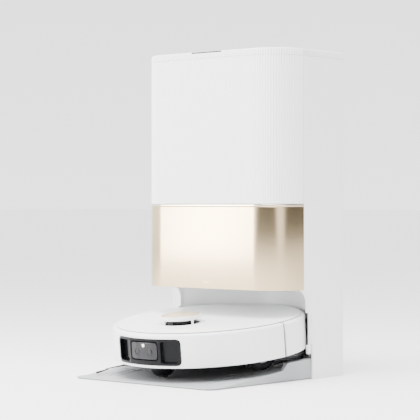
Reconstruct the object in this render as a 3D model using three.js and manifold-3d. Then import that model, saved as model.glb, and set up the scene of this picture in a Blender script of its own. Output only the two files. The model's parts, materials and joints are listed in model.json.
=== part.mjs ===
// A robot vacuum cleaner parked on the ramp of its self-emptying, self-washing dock.
// Millimetres, +Z up, the dock's front faces -Y and its right side, seen from the front, is +X.
// The origin is on the floor, midway between the dock's front lip and its back.
import * as THREE from "three";
import { mergeVertices } from "three/addons/utils/BufferGeometryUtils.js";
import Module from "manifold-3d";

// ---------------------------------------------------------------- driving dimensions: the dock
const DOCK_WIDTH = 340;
const DOCK_DEPTH = 380; // front lip of the ramp to the back
const DOCK_HEIGHT = 590.5;
const TOWER_DEPTH = 204; // fluted front to the back
const FRONT_RADIUS = 60; // plan corners at the front of the tower
const REAR_RADIUS = 25;
const WRAP_DEPTH = 71; // how far the front covers reach back along the sides
const SHELL = 4; // wall of the outer housing
const COVER_WALL = 3; // wall of the front covers and the lid
const OVERHANG_HEIGHT = 160; // floor to the underside of the tower's upper body
const DOOR_HEIGHT = 149; // lower, metallic cover
const TRIM_HEIGHT = 4; // bright strip on top of the lower cover
const LID_HEIGHT = 12.2;
const SEAM = 1; // gap between neighbouring covers
const FLUTE_COUNT = 88;
const FLUTE_DEPTH = 1.2;
const CHEEK_SETBACK = 27; // lower side walls start this far behind the covers' edge
const BAY_NARROWING = 23; // the bay's side walls stand this far inside the robot's radius
const DECK = 4; // horizontal plates inside the tower
const TRAY_INSET = 5; // the tray is narrower than the tower, each side
const TRAY_LIP = 3; // thickness of the ramp's front lip
const TRAY_CORNER = 18;
const RAIL_HEIGHT = 34; // side rails beside the washing basin
const RAIL_WIDTH = 13;
const RAMP_ANGLE = THREE.MathUtils.degToRad(5.87);
const FOOT = 1.2; // rubber under the tray
const LINER_WALL = 3;
const MAT = 2; // thickness of the grey ramp plate let into the tray
const BASIN_DEPTH = 12;
const TREAD_HALF = 22; // half the length of a tread slot
const ROLLER_RADIUS = 5.2; // guide rollers in the cheeks
const ROLLER_HEIGHT = 16;
const ROLLER_CLEARANCE = 1.1; // robot to roller
const CONTACT = { width: 12, height: 9, apart: 44, reach: 4, z: 84 };
const LID_HINGE = { back: 5, drop: 8, rod: 1.5, ear: 56, sweep: 3 };
const TANK = { gap: 5, wall: 2.4, neck: 22, handle: 14 };
const BAG = { x0: 14, x1: 132, y0: 14, y1: 92, height: 120, foot: 4 };
const DUCT = { side: 42, back: 34, radius: 12, wall: 2 };
const FAN = { x: -70, back: 45.5, radius: 38, eye: 10 };
const INLET = { x: -110, halfWidth: 17.5, z0: 46.5, z1: 69.5 };

// ---------------------------------------------------------------- driving dimensions: the robot
const ROBOT_RADIUS = 175;
const BODY_BOTTOM = 26; // lower edge of the bumper and side shell above the ground
const WHEEL_HEADROOM = 14; // drive wheels to the seam between side shell and top cover
const BODY_WALL = 3;
const SHOULDER = 6; // rounding between side and top
const CHASSIS_BOTTOM = 21;
const CHASSIS_INSET = 9; // the chassis is this much smaller than the body, all round
const PLATE = 3; // chassis floor and ring wall
const COVER_THICK = 2.6;
const BUMPER_GAP = 6; // between the bumper's ends and the side shell
const VENT_HALF_ANGLE = THREE.MathUtils.degToRad(52); // rear vent band, each side of straight back
const EYE = { halfWidth: 73, bottom: 31, top: 77, corner: 9, depth: 13 }; // black sensor surround
const EYE_BLOCK = { halfWidth: 30, bottom: 41, top: 71, corner: 5 }; // dark window in its middle
const EYE_RING = 7; // raised frame round the window
const LAMP = { half: 2.6, z: 65.5 };
const TURRET = { setback: 93, radius: 37, base: 42, rise: 18.4, slotBottom: 3.5, slotTop: 11.2, rim: 2.5,
  posts: [-108, -12, 80, 168] };
const KEY_BAR = { ahead: 15, halfLength: 9, radius: 5, apart: 24 };
const WHEEL = { radius: 36, width: 22, inboard: 60, y: 0, hub: 24, pin: 5 };
const ARM = { pivotY: -46, pivotZ: 42, thick: 6 };
const CASTER = { inboard: 45, dome: 21, stem: 9, bottom: 5.5, width: 14, wheel: 8.1, z: 9.2, pin: 1.6 };
const SIDE_BRUSH = { inboard: 29.17, hub: 15, reach: 70, width: 9, bend: 18, drop: 9.5, top: 15.5,
  angles: [-121, 59] };
const ROLLER = { y: -3, radius: 20, centre: 23 };
const GUARD = { margin: 9, front: 27, back: 26 }; // brush guard round the roller's opening
const MOP = { gap: 8, bottom: 3.2, pad: 6, disc: 3.2, ahead: 5.4877, rim: 1 };
const DUST_BOX = { halfWidth: 78, ahead: 11, back: 67, bottom: 46 };
const BATTERY = { halfWidth: 66, top: 56 };
const ROBOT_FAN = { inboard: 45, outer: 20, eye: 6, bottom: 44 };
const GAP = 0.3; // between pieces that rest on each other
const RUNNING = 0.5; // between pieces that move past each other

// ---------------------------------------------------------------- places worked out from the sizes
const HALF = DOCK_WIDTH / 2;
const BACK = DOCK_DEPTH / 2;
const LIP = -BACK;
const TOWER_FRONT = BACK - TOWER_DEPTH;
const WRAP_END = TOWER_FRONT + WRAP_DEPTH;
const CHEEK_FRONT = WRAP_END + CHEEK_SETBACK;
const DOOR_TOP = OVERHANG_HEIGHT + DOOR_HEIGHT;
const TRIM_TOP = DOOR_TOP + TRIM_HEIGHT;
const FLUTES_BOTTOM = TRIM_TOP + SEAM;
const HOUSING_TOP = DOCK_HEIGHT - LID_HEIGHT - GAP;
const SLOPE = Math.tan(RAMP_ANGLE);
const ROBOT_Y = BACK - ROBOT_RADIUS - 13;
const ROBOT_Z = (ROBOT_Y - LIP) * SLOPE;
const BAY_RADIUS = ROBOT_RADIUS + 8; // curved back of the parking bay
const BAY_Y = ROBOT_Y - 9;
const CHEEK_IN = ROBOT_RADIUS - BAY_NARROWING;
const TRAY_HALF = HALF - TRAY_INSET;
const BASIN_HALF = TRAY_HALF - RAIL_WIDTH;
const CHASSIS_RADIUS = ROBOT_RADIUS - CHASSIS_INSET;
const COVER_RADIUS = ROBOT_RADIUS - SHOULDER - 2;
const RAMP_END = ROBOT_Y + 24; // the washing basin starts behind this line
const RAIL_START = ROBOT_Y + 2;
const FLAT_END = LIP + TRAY_LIP / SLOPE + 4;
const TRAY_BACK = BACK - SHELL - GAP;
const MAT_FRONT = FLAT_END;
const MAT_BACK = RAMP_END - 6;
const MAT_HALF = BASIN_HALF + 6;
const HINGE_Y = BACK - LID_HINGE.back;
const HINGE_Z = DOCK_HEIGHT - LID_HINGE.drop;
const DECK_TOP = FLUTES_BOTTOM + 3 + DECK;
const BAY_FLOOR = OVERHANG_HEIGHT + DECK + GAP;
const BAG_Z0 = BAY_FLOOR + BAG.foot;
const BAG_Z1 = BAG_Z0 + BAG.height;
const DUCT_X = HALF - DUCT.side;
const DUCT_Y = BACK - DUCT.back;
const FAN_Y = BACK - FAN.back;
const ROLLER_Z = RAIL_HEIGHT + 10;
const ROLLER_Y = CHEEK_FRONT;
// How far the robot's axis leans forward at the rollers' height.
const LEAN = (ROLLER_Z + ROLLER_HEIGHT / 2 - ROBOT_Z) * Math.sin(RAMP_ANGLE);
const ROLLER_X = Math.sqrt(
  (ROBOT_RADIUS + ROLLER_CLEARANCE + ROLLER_RADIUS) ** 2 - (ROLLER_Y - ROBOT_Y + LEAN) ** 2);
const BODY_TOP = 2 * WHEEL.radius + WHEEL_HEADROOM;
const TURRET_Y = TURRET.setback - COVER_RADIUS;
const KEY_Y = TURRET_Y - TURRET.base - KEY_BAR.ahead;
const CAP_RADIUS = TURRET.radius - TURRET.rim;
const WHEEL_X = ROBOT_RADIUS - WHEEL.inboard;
const ARM_IN = WHEEL_X - WHEEL.width / 2 - 2 - ARM.thick;
const ROLLER_HALF = ARM_IN - 3 - GUARD.margin;
const CASTER_Y = CASTER.inboard - ROBOT_RADIUS;
const BRUSH_TURN = THREE.MathUtils.degToRad(222.22); // where the side brush sits, seen from above
const BRUSH_X = (ROBOT_RADIUS - SIDE_BRUSH.inboard) * Math.cos(BRUSH_TURN);
const BRUSH_Y = (ROBOT_RADIUS - SIDE_BRUSH.inboard) * Math.sin(BRUSH_TURN);
// The mops fill the rear: each touches the guard's clearance, its twin's and the rim's.
const MOP_RIM = ROBOT_RADIUS - MOP.rim;
const MOP_FRONT = ROLLER.y + GUARD.back + MOP.ahead;
const MOP_SUM = MOP.gap / 2 + MOP_FRONT + MOP_RIM;
const MOP_RADIUS = Math.sqrt(MOP_SUM ** 2 + MOP_RIM ** 2 - (MOP.gap / 2) ** 2 - MOP_FRONT ** 2) - MOP_SUM;
const MOP_X = MOP_RADIUS + MOP.gap / 2;
const MOP_Y = MOP_RADIUS + MOP_FRONT;
const FAR = 1000; // longer than anything that a cutting block has to pass through

const wasm = await Module();
wasm.setup();

// ---------------------------------------------------------------- materials
const plastic = (color, roughness) => new THREE.MeshStandardMaterial({ color, roughness, metalness: 0 });
const metal = (color, roughness) => new THREE.MeshStandardMaterial({ color, roughness, metalness: 1 });
const MATERIAL = {
  white: plastic(0xeff0f0, 0.35),
  trayWhite: plastic(0xe3e4e4, 0.5),
  greyPlastic: plastic(0xbfc1c2, 0.6),
  champagne: metal(0xd9cbbb, 0.32),
  blackPlastic: plastic(0x1d1e20, 0.45),
  darkGlass: plastic(0x2a2c2f, 0.12),
  rubber: plastic(0x26272a, 0.8),
  steel: metal(0xb9bcc0, 0.35),
  nickel: metal(0xcdc7b4, 0.3),
  clearBlue: plastic(0xbfd2da, 0.15),
  smoke: plastic(0x7b8085, 0.2),
  paper: plastic(0xe4e0d6, 0.9),
  mopCloth: plastic(0x8d9094, 0.95),
  bristle: plastic(0x3a3c40, 0.8),
  board: plastic(0x1f5a3c, 0.6),
  battery: plastic(0x33506e, 0.5),
  lamp: plastic(0xf4f2df, 0.3),
};

// ---------------------------------------------------------------- solids
// A three.js geometry as a solid. An outline may be written either way round.
function solid(geometry) {
  const flat = geometry.index ? geometry.toNonIndexed() : geometry;
  const bare = new THREE.BufferGeometry().setAttribute("position", flat.getAttribute("position"));
  const merged = mergeVertices(bare, 1e-3);
  const vertProperties = merged.attributes.position.array;
  const triVerts = new Uint32Array(merged.index.array);
  const made = new wasm.Manifold(new wasm.Mesh({ numProp: 3, vertProperties, triVerts }));
  if (made.volume() > 0) return made;
  return new wasm.Manifold(new wasm.Mesh({ numProp: 3, vertProperties, triVerts: triVerts.reverse() }));
}

function geometryOf(body) {
  const mesh = body.getMesh();
  return new THREE.BufferGeometry()
    .setAttribute("position", new THREE.BufferAttribute(new Float32Array(mesh.vertProperties), 3))
    .setIndex(new THREE.BufferAttribute(new Uint32Array(mesh.triVerts), 1));
}

const union = (...bodies) => bodies.reduce((sum, body) => sum.add(body));

function box(x0, x1, y0, y1, z0, z1) {
  const geometry = new THREE.BoxGeometry(x1 - x0, y1 - y0, z1 - z0);
  return solid(geometry.translate((x0 + x1) / 2, (y0 + y1) / 2, (z0 + z1) / 2));
}

// A plan outline raised from z0 to z1.
function prism(shape, z0, z1, curveSegments = 10) {
  const geometry = new THREE.ExtrudeGeometry(shape, { depth: z1 - z0, bevelEnabled: false,
      curveSegments });
  return solid(geometry.translate(0, 0, z0));
}

const AXES = { x: new THREE.Vector3(1, 0, 0), y: new THREE.Vector3(0, 1, 0), z: new THREE.Vector3(0, 0,
    1) };
const ALONG_X = new THREE.Matrix4().makeBasis(AXES.y, AXES.z, AXES.x);
const ALONG_Y = new THREE.Matrix4().makeBasis(AXES.z, AXES.x, AXES.y);

// A side outline, drawn as (y, z), stretched from x0 to x1.
function sideways(shape, x0, x1, curveSegments = 10) {
  const geometry = new THREE.ExtrudeGeometry(shape, { depth: x1 - x0, bevelEnabled: false,
      curveSegments });
  return solid(geometry.translate(0, 0, x0).applyMatrix4(ALONG_X));
}

// A cylinder standing on z0.
function post(x, y, radius, z0, z1, segments = 24) {
  const geometry = new THREE.CylinderGeometry(radius, radius, z1 - z0, segments);
  return solid(geometry.rotateX(Math.PI / 2).translate(x, y, (z0 + z1) / 2));
}

// A cylinder lying along X.
function axle(x0, x1, y, z, radius, segments = 24) {
  const geometry = new THREE.CylinderGeometry(radius, radius, x1 - x0, segments);
  return solid(geometry.rotateZ(Math.PI / 2).translate((x0 + x1) / 2, y, z));
}

// A profile of [radius, height] points turned about the vertical through (x, y).
function turned(points, segments, x = 0, y = 0) {
  const profile = [...points, points[0]].map(([r, z]) => new THREE.Vector2(r, z));
  return solid(new THREE.LatheGeometry(profile, segments).rotateX(Math.PI / 2).translate(x, y, 0));
}

function ring(outer, inner, z0, z1, segments = 72, x = 0, y = 0) {
  return turned([[inner, z0], [outer, z0], [outer, z1], [inner, z1]], segments, x, y);
}

function polygon(points) {
  return new THREE.Shape(points.map(([a, b]) => new THREE.Vector2(a, b)));
}

// A rectangle with one corner radius at its low-y end and another at its high-y end.
function roundedPlan(halfWidth, y0, y1, lowRadius, highRadius, steps = 6) {
  const corners = [[-1, y0, lowRadius, 1], [1, y0, lowRadius, 1.5], [1, y1, highRadius, 0], [-1, y1,
      highRadius, 0.5]];
  const points = [];
  for (const [side, y, radius, start] of corners) {
    const centre = [side * (halfWidth - radius), y === y0 ? y + radius : y - radius];
    const last = radius ? steps : 0;
    for (let i = 0; i <= last; i++) {
      const angle = Math.PI * (start + i / (2 * steps));
      points.push([centre[0] + radius * Math.cos(angle), centre[1] + radius * Math.sin(angle)]);
    }
  }
  return polygon(points);
}

// A slab whose long edges are rounded, drawn on the XZ plane and stretched along Y.
function roundedFace(halfWidth, z0, z1, radius, y0, y1) {
  const shape = new THREE.Shape();
  const corners = [[z1, 0, 1], [z1, 1, -1], [z0, 2, -1], [z0, 3, 1]];
  for (const [z, quarter, side] of corners) {
    const inward = quarter < 2 ? z - radius : z + radius;
    shape.absarc(inward, side * (halfWidth - radius), radius, (quarter * Math.PI) / 2 * -1 + Math.PI / 2,
      (quarter * Math.PI) / 2 * -1, true);
  }
  const geometry = new THREE.ExtrudeGeometry(shape, { depth: y1 - y0, bevelEnabled: false,
      curveSegments: 5 });
  return solid(geometry.translate(0, 0, y0).applyMatrix4(ALONG_Y));
}

// ---------------------------------------------------------------- the tower's U-shaped front line
// Runs from the right wrap end, round the front, to the left wrap end. inset moves it inwards.
const FRONT_LENGTH = 2 * (WRAP_DEPTH - FRONT_RADIUS) + Math.PI * FRONT_RADIUS + 2 * (HALF - FRONT_RADIUS);

function frontPoint(distance, inset) {
  const straight = WRAP_DEPTH - FRONT_RADIUS;
  const quarter = (Math.PI / 2) * FRONT_RADIUS;
  const half = FRONT_LENGTH / 2;
  const mirrored = distance > half;
  const s = mirrored ? FRONT_LENGTH - distance : distance;
  const side = mirrored ? -1 : 1;
  if (s <= straight) return [side * (HALF - inset), WRAP_END - s];
  if (s <= straight + quarter) {
    const angle = (s - straight) / FRONT_RADIUS;
    const reach = FRONT_RADIUS - inset;
    return [side * (HALF - FRONT_RADIUS + reach * Math.cos(angle)),
      TOWER_FRONT + FRONT_RADIUS - reach * Math.sin(angle)];
  }
  return [side * (half - s), TOWER_FRONT + inset];
}

// The distances along the front line at which a plain cover needs a corner point.
function frontStops() {
  const straight = WRAP_DEPTH - FRONT_RADIUS;
  const quarter = (Math.PI / 2) * FRONT_RADIUS;
  const steps = 12;
  const near = [0];
  for (let i = 0; i <= steps; i++) near.push(straight + (quarter * i) / steps);
  return [...near, ...near.map((s) => FRONT_LENGTH - s).reverse()];
}

function flutedStops(perFlute) {
  return Array.from({ length: FLUTE_COUNT * perFlute + 1 }, (_,
      i) => (FRONT_LENGTH * i) / (FLUTE_COUNT * perFlute));
}

function fluteInset(s) {
  const phase = (2 * Math.PI * FLUTE_COUNT * s) / FRONT_LENGTH;
  return (FLUTE_DEPTH * (1 - Math.cos(phase))) / 2;
}

function frontShell(wall, z0, z1, fluted) {
  const outer = (fluted ? flutedStops(3) : frontStops()).map((s) => frontPoint(s,
      fluted ? fluteInset(s) : 0));
  const inner = frontStops().map((s) => frontPoint(s, wall)).reverse();
  return prism(polygon([...outer, ...inner]), z0, z1);
}

// ---------------------------------------------------------------- dock: housing and frame
function dockHousing() {
  const outer = prism(roundedPlan(HALF, WRAP_END + GAP, BACK, 0, REAR_RADIUS), 0, HOUSING_TOP);
  const hollow = prism(
    roundedPlan(HALF - SHELL, WRAP_END - FAR, BACK - SHELL, 0, REAR_RADIUS - SHELL), -1, HOUSING_TOP + 1);
  const hingeRelief = box(-FAR, FAR, HINGE_Y - 5, BACK + 1, HOUSING_TOP - LID_HINGE.sweep,
      HOUSING_TOP + 1);
  const inletHole = box(INLET.x - INLET.halfWidth - 0.5, INLET.x + INLET.halfWidth + 0.5,
    BACK - 2 * SHELL, BACK + 1, INLET.z0 - 0.5, INLET.z1 + 0.5);
  const ears = [-1, 1].map((side) => {
    const x = side * LID_HINGE.ear;
    const ear = box(x - 3, x + 3, HINGE_Y - 3.5, BACK - GAP, HOUSING_TOP - 12, HINGE_Z + 3);
    return ear.subtract(axle(x - 4, x + 4, HINGE_Y, HINGE_Z, LID_HINGE.rod + GAP));
  });
  return union(outer.subtract(hollow).subtract(underCut(0)).subtract(hingeRelief).subtract(inletHole),
      ...ears);
}

// The space in front of the lower side walls, with its rounded upper corner.
function underCut(margin) {
  const radius = CHEEK_SETBACK;
  const y = CHEEK_FRONT + margin;
  const z = OVERHANG_HEIGHT + margin;
  const shape = new THREE.Shape();
  shape.moveTo(y - FAR, -1);
  shape.lineTo(y, -1);
  shape.lineTo(y, z - radius);
  shape.absarc(y - radius, z - radius, radius, 0, Math.PI / 2);
  shape.lineTo(y - FAR, z);
  return sideways(shape, -FAR, FAR, 8);
}

// The tower's whole plan, moved inwards by inset.
function towerPlan(inset) {
  const front = frontStops().map((s) => frontPoint(s, inset));
  const back = [];
  const steps = 6;
  for (const side of [-1, 1])
    for (let i = 0; i <= steps; i++) {
      const angle = ((Math.PI / 2) * (side < 0 ? i : steps - i)) / steps;
      const reach = REAR_RADIUS - inset;
      back.push([side * (HALF - REAR_RADIUS + reach * Math.cos(angle)),
          BACK - REAR_RADIUS + reach * Math.sin(angle)]);
    }
  return polygon([...front, ...back]);
}

// Floor of the upper body, the deck between its two bays, a partition and the lower bay's back plate.
function dockFrame() {
  const inset = COVER_WALL + FLUTE_DEPTH + 0.8;
  const deckZ = FLUTES_BOTTOM + 3;
  const z0 = OVERHANG_HEIGHT + DECK - 1;
  const partition = box(-2, 2, TOWER_FRONT + 10, BACK - SHELL - 2, z0, deckZ + 1);
  const backPlate = box(-HALF + 25, HALF - 25, BACK - 90, BACK - 87, z0, deckZ + 1);
  const duct = post(DUCT_X, DUCT_Y, DUCT.radius + 1, OVERHANG_HEIGHT - 1, OVERHANG_HEIGHT + DECK + 1);
  return union(prism(towerPlan(inset), OVERHANG_HEIGHT + GAP, OVERHANG_HEIGHT + DECK),
    prism(towerPlan(inset), deckZ, deckZ + DECK), partition, backPlate).subtract(duct);
}

// Curved back and cheeks of the parking bay, with slots for the charging contacts.
function recessLiner() {
  const z0 = rampZ(RAMP_END) + GAP;
  const z1 = OVERHANG_HEIGHT;
  const edge = HALF - SHELL - GAP;
  const tube = (radius, halfWidth) =>
    post(0, BAY_Y, radius, z0, z1, 96).intersect(box(-halfWidth, halfWidth, CHEEK_FRONT - 5, BACK, z0,
        z1));
  const flange = box(-edge, edge, CHEEK_FRONT + GAP, CHEEK_FRONT + LINER_WALL, z0, z1);
  const shell = tube(BAY_RADIUS + LINER_WALL, CHEEK_IN + LINER_WALL)
    .subtract(box(-FAR, FAR, -FAR, CHEEK_FRONT + GAP, 0, FAR));
  const cavity = post(0, BAY_Y, BAY_RADIUS, z0 - 1, z1 + 1, 96)
    .intersect(box(-CHEEK_IN, CHEEK_IN, -FAR, FAR, z0 - 1, z1 + 1));
  const fillet = box(-edge, edge, WRAP_END, CHEEK_FRONT + LINER_WALL, z1 - CHEEK_SETBACK - 4, z1)
    .subtract(underCut(GAP)).subtract(box(-CHEEK_IN, CHEEK_IN, -FAR, FAR, 0, FAR));
  const slots = [-1, 1].map((side) => {
    const x = (side * CONTACT.apart) / 2;
    return box(x - CONTACT.width / 2 - RUNNING, x + CONTACT.width / 2 + RUNNING, 100, BACK,
      CONTACT.z - CONTACT.height / 2 - RUNNING, CONTACT.z + CONTACT.height / 2 + RUNNING);
  });
  const pockets = [-1, 1].map((side) =>
    box(side * ROLLER_X - ROLLER_RADIUS - 1, side * ROLLER_X + ROLLER_RADIUS + 1, CHEEK_FRONT - 5,
      ROLLER_Y + ROLLER_RADIUS + 1, 0, ROLLER_Z + ROLLER_HEIGHT + 1));
  const parking = post(0, ROBOT_Y, ROBOT_RADIUS + 3, 0, ROBOT_Z + BODY_TOP + 12, 96);
  const pins = [-1, 1].map((side) =>
    post(side * ROLLER_X, ROLLER_Y, 1.1, ROLLER_Z - 1, ROLLER_Z + ROLLER_HEIGHT + 4, 10));
  return [...slots, ...pockets, parking].reduce((body, cut) => body.subtract(cut), union(shell,
      flange).subtract(cavity))
    .add(fillet).intersect(box(-edge, edge, WRAP_END, BACK, z0, z1 - 0.01)).add(union(...pins));
}

// ---------------------------------------------------------------- dock: tray and ramp
const rampZ = (y) => Math.max(TRAY_LIP, (y - LIP) * SLOPE - GAP - 0.1);

function trayProfile() {
  return polygon([
    [LIP, FOOT], [TRAY_BACK, FOOT], [TRAY_BACK, rampZ(RAMP_END)],
    [RAMP_END, rampZ(RAMP_END)], [FLAT_END, TRAY_LIP], [LIP + 3, TRAY_LIP], [LIP, FOOT + 0.8],
  ]);
}

function railProfile() {
  const step = 14;
  return polygon([
    [RAIL_START - 12, FOOT], [CHEEK_FRONT - GAP, FOOT], [CHEEK_FRONT - GAP, RAIL_HEIGHT + 2],
    [RAIL_START + step, RAIL_HEIGHT - 2], [RAIL_START, rampZ(RAIL_START)], [RAIL_START - 12,
        rampZ(RAIL_START - 12)],
  ]);
}

function baseTray() {
  const rails = [-1, 1].map((side) => sideways(railProfile(),
    Math.min(side * TRAY_HALF, side * BASIN_HALF), Math.max(side * TRAY_HALF, side * BASIN_HALF)));
  const wedge = sideways(trayProfile(), -TRAY_HALF, TRAY_HALF);
  const rounded = prism(roundedPlan(TRAY_HALF, LIP, TRAY_BACK - 0.01, TRAY_CORNER,
      REAR_RADIUS - SHELL - GAP),
    0, RAIL_HEIGHT + 10);
  const matPocket = sideways(polygon([
    [MAT_FRONT, TRAY_LIP - 0.5], [FLAT_END, TRAY_LIP - 0.5], [MAT_BACK, rampZ(MAT_BACK) - MAT],
    [MAT_BACK, FAR], [MAT_FRONT, FAR]]), -MAT_HALF, MAT_HALF);
  return union(wedge, ...rails).intersect(rounded).subtract(basinCut()).subtract(matPocket)
    .subtract(wheelPockets(0));
}


// The washing basin is a sunk rectangle with a sloping floor that keeps its distance from the washboard.
function basinCut() {
  const y0 = RAMP_END + 6;
  const y1 = BAY_Y + BAY_RADIUS - 6;
  const depth = BASIN_DEPTH;
  return sideways(polygon([[y0, rampZ(RAMP_END) - depth], [y1, rampZ(y1) - depth - 8], [y1, FAR], [y0,
      FAR]]),
    -BASIN_HALF + 6, BASIN_HALF - 6).intersect(post(0, BAY_Y, BAY_RADIUS - 6, 0, 60, 64));
}

// Shallow troughs that the drive wheels settle in.
function wheelPockets(margin) {
  const half = WHEEL.width / 2 + 6 + margin;
  return union(...[-1, 1].map((side) => box(side * WHEEL_X - half, side * WHEEL_X + half,
    ROBOT_Y - 20 - margin, MAT_BACK + 20, rampZ(ROBOT_Y - 20) - MAT - 1, FAR).intersect(
    sideways(polygon([[ROBOT_Y - 20 - margin, rampZ(ROBOT_Y - 20) - 0.4], [MAT_BACK,
        rampZ(MAT_BACK) - 0.4],
      [MAT_BACK, FAR], [ROBOT_Y - 20 - margin, FAR]]), -FAR, FAR))));
}

function rampPlate() {
  const y0 = MAT_FRONT + GAP;
  const y1 = MAT_BACK - GAP;
  const slab = sideways(polygon([
    [y0, TRAY_LIP - 0.5 + GAP], [y1, rampZ(y1) - MAT + GAP], [y1, rampZ(y1)], [y0, rampZ(y0)],
  ]), -MAT_HALF + GAP, MAT_HALF - GAP);
  return slab.subtract(treadHoles());
}

// Rows of short slots across the ramp, in the wheels' tracks.
function treadHoles() {
  const cuts = [];
  for (const side of [-1, 1])
    for (let row = 0; row < 2; row++) {
      const y = ROBOT_Y - 62 - row * 22;
      cuts.push(box(side * WHEEL_X - TREAD_HALF - GAP, side * WHEEL_X + TREAD_HALF + GAP, y - 4 - GAP,
          y + 4 + GAP, 0, FAR));
    }
  return union(...cuts);
}

function washboard() {
  const y0 = RAMP_END + 8;
  const y1 = BAY_Y + BAY_RADIUS - 8;
  const top = (y) => (y - LIP) * SLOPE - 1;
  const slab = sideways(polygon([[y0, top(y0) - 6], [y1, top(y1) - 6], [y1, top(y1) - 2.5], [y0,
      top(y0) - 2.5]]),
    -BASIN_HALF + 8, BASIN_HALF - 8);
  const ribs = [];
  for (const side of [-1, 1])
    for (let i = -2; i <= 2; i++) {
      const x = side * MOP_X + i * 22;
      const rib = sideways(polygon([[y0 + 6, top(y0 + 6) - 3], [y1 - 6, top(y1 - 6) - 3],
        [y1 - 6, top(y1 - 6)], [y0 + 6, top(y0 + 6)]]), x - 2, x + 2);
      ribs.push(rib);
    }
  const drains = [-1, 1].map((side) => post(side * MOP_X + 11, ROBOT_Y + MOP_Y, 7, 0, FAR, 16));
  return drains.reduce((body, cut) => body.subtract(cut), union(slab, ...ribs))
    .intersect(post(0, BAY_Y, BAY_RADIUS - 8, 0, 60, 64));
}

// ---------------------------------------------------------------- dock: covers, lid and hinge

function topLid() {
  const z0 = HOUSING_TOP + GAP;
  const z1 = DOCK_HEIGHT;
  const nose = polygon(flutedStops(2).map((s) => frontPoint(s, fluteInset(s))));
  const body = roundedPlan(HALF, WRAP_END - 0.5, BACK, 0, REAR_RADIUS);
  const hollowNose = polygon(frontStops().map((s) => frontPoint(s, COVER_WALL)));
  const hollowBody = roundedPlan(HALF - COVER_WALL, WRAP_END - 2, BACK - COVER_WALL, 0,
      REAR_RADIUS - COVER_WALL);
  const hollow = union(prism(hollowNose, z0 - 1, z1 - COVER_WALL), prism(hollowBody, z0 - 1,
      z1 - COVER_WALL));
  const fingerSlot = box(-36, 36, TOWER_FRONT - 1, TOWER_FRONT + 2.4, z1 - 2.6, z1 + 1);
  const earNotches = [-1, 1].map((side) =>
    box(side * LID_HINGE.ear - 5, side * LID_HINGE.ear + 5, HINGE_Y - 8, BACK + 1, z0 - 1,
        z1 - COVER_WALL + 1.5));
  const bosses = [-1, 1].map((side) => {
    const x = side * (LID_HINGE.ear - 10);
    return box(x - 4, x + 4, HINGE_Y - 3.5, HINGE_Y + 3.5, HINGE_Z - 3, z1 - COVER_WALL + 1)
      .subtract(axle(x - 5, x + 5, HINGE_Y, HINGE_Z, LID_HINGE.rod + GAP));
  });
  const cap = union(prism(nose, z0, z1), prism(body, z0, z1)).subtract(hollow).subtract(fingerSlot);
  return union(earNotches.reduce((part, cut) => part.subtract(cut), cap), ...bosses);
}

const lidHingeRod = () => axle(-LID_HINGE.ear - 3, LID_HINGE.ear + 3, HINGE_Y, HINGE_Z, LID_HINGE.rod,
    16);

function lowerDoor() {
  const thumbNotch = post(0, TOWER_FRONT - 2, 9, OVERHANG_HEIGHT + 8, OVERHANG_HEIGHT + 14, 24);
  return frontShell(COVER_WALL, OVERHANG_HEIGHT, DOOR_TOP - GAP, false).subtract(thumbNotch);
}

// ---------------------------------------------------------------- dock: tanks, bag and machinery

// A tank follows the tower's rounded front corner on its outer side.
function tankPlan(side, inset) {
  const outer = HALF - SHELL - 4 - inset;
  const inner = TANK.gap / 2 + inset;
  const front = TOWER_FRONT + COVER_WALL + FLUTE_DEPTH + 5 + inset;
  const back = BACK - SHELL - 6 - inset;
  const radius = FRONT_RADIUS - 6;
  const shape = new THREE.Shape();
  shape.moveTo(inner, front);
  shape.lineTo(outer - radius, front);
  shape.absarc(outer - radius, front + radius, radius, -Math.PI / 2, 0);
  shape.lineTo(outer, back - REAR_RADIUS);
  shape.absarc(outer - REAR_RADIUS, back - REAR_RADIUS, REAR_RADIUS, 0, Math.PI / 2);
  shape.lineTo(inner, back);
  return side > 0 ? shape : polygon(shape.getPoints(8).map((p) => [-p.x, p.y]));
}

function waterTank(side) {
  const top = HOUSING_TOP - TANK.neck;
  const wall = TANK.wall;
  const well = prism(tankPlan(side, wall), (DECK_TOP + GAP) + wall, top + 1, 8);
  return prism(tankPlan(side, 0), (DECK_TOP + GAP), top, 8).subtract(well);
}

// Tank cap with a carrying handle across it.
function tankCap(side) {
  const top = HOUSING_TOP - TANK.neck;
  const middle = side * (HALF - SHELL) / 2;
  const y = (TOWER_FRONT + BACK) / 2;
  const plate = prism(tankPlan(side, 0), top + GAP, top + 4, 8);
  const handle = box(middle - 8, middle + 8, y - 55, y + 55, top + 3, top + TANK.handle)
    .subtract(box(middle - 9, middle + 9, y - 46, y + 46, top + 4.01, top + TANK.handle - 4));
  return union(plate, handle);
}


function dustBag() {
  const middle = (BAG.x0 + BAG.x1) / 2;
  const half = (BAG.x1 - BAG.x0) / 2;
  return prism(roundedPlan(half, BAG.y0, BAG.y1, 20, 20), BAG_Z0, BAG_Z1, 6).translate([middle, 0, 0]);
}

function bagCollar() {
  const middle = (BAG.x0 + BAG.x1) / 2;
  const plate = box(BAG.x0 + 6, BAG.x1 - 6, BAG.y0 + 6, BAG.y1 - 6, BAG_Z1 + GAP, BAG_Z1 + 3);
  const tab = box(middle - 12, middle + 12, BAG.y0 - 8, BAG.y0 + 8, BAG_Z1 + GAP, BAG_Z1 + 3);
  return union(plate, tab);
}

const suctionFan = () => turned([[FAN.eye, BAY_FLOOR + 58], [FAN.radius, BAY_FLOOR + 58],
  [FAN.radius, BAY_FLOOR + 92], [FAN.radius - 10, BAY_FLOOR + 108], [FAN.radius - 10, BAY_FLOOR + 126],
  [FAN.eye, BAY_FLOOR + 126]], 24, FAN.x, FAN_Y);

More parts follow.
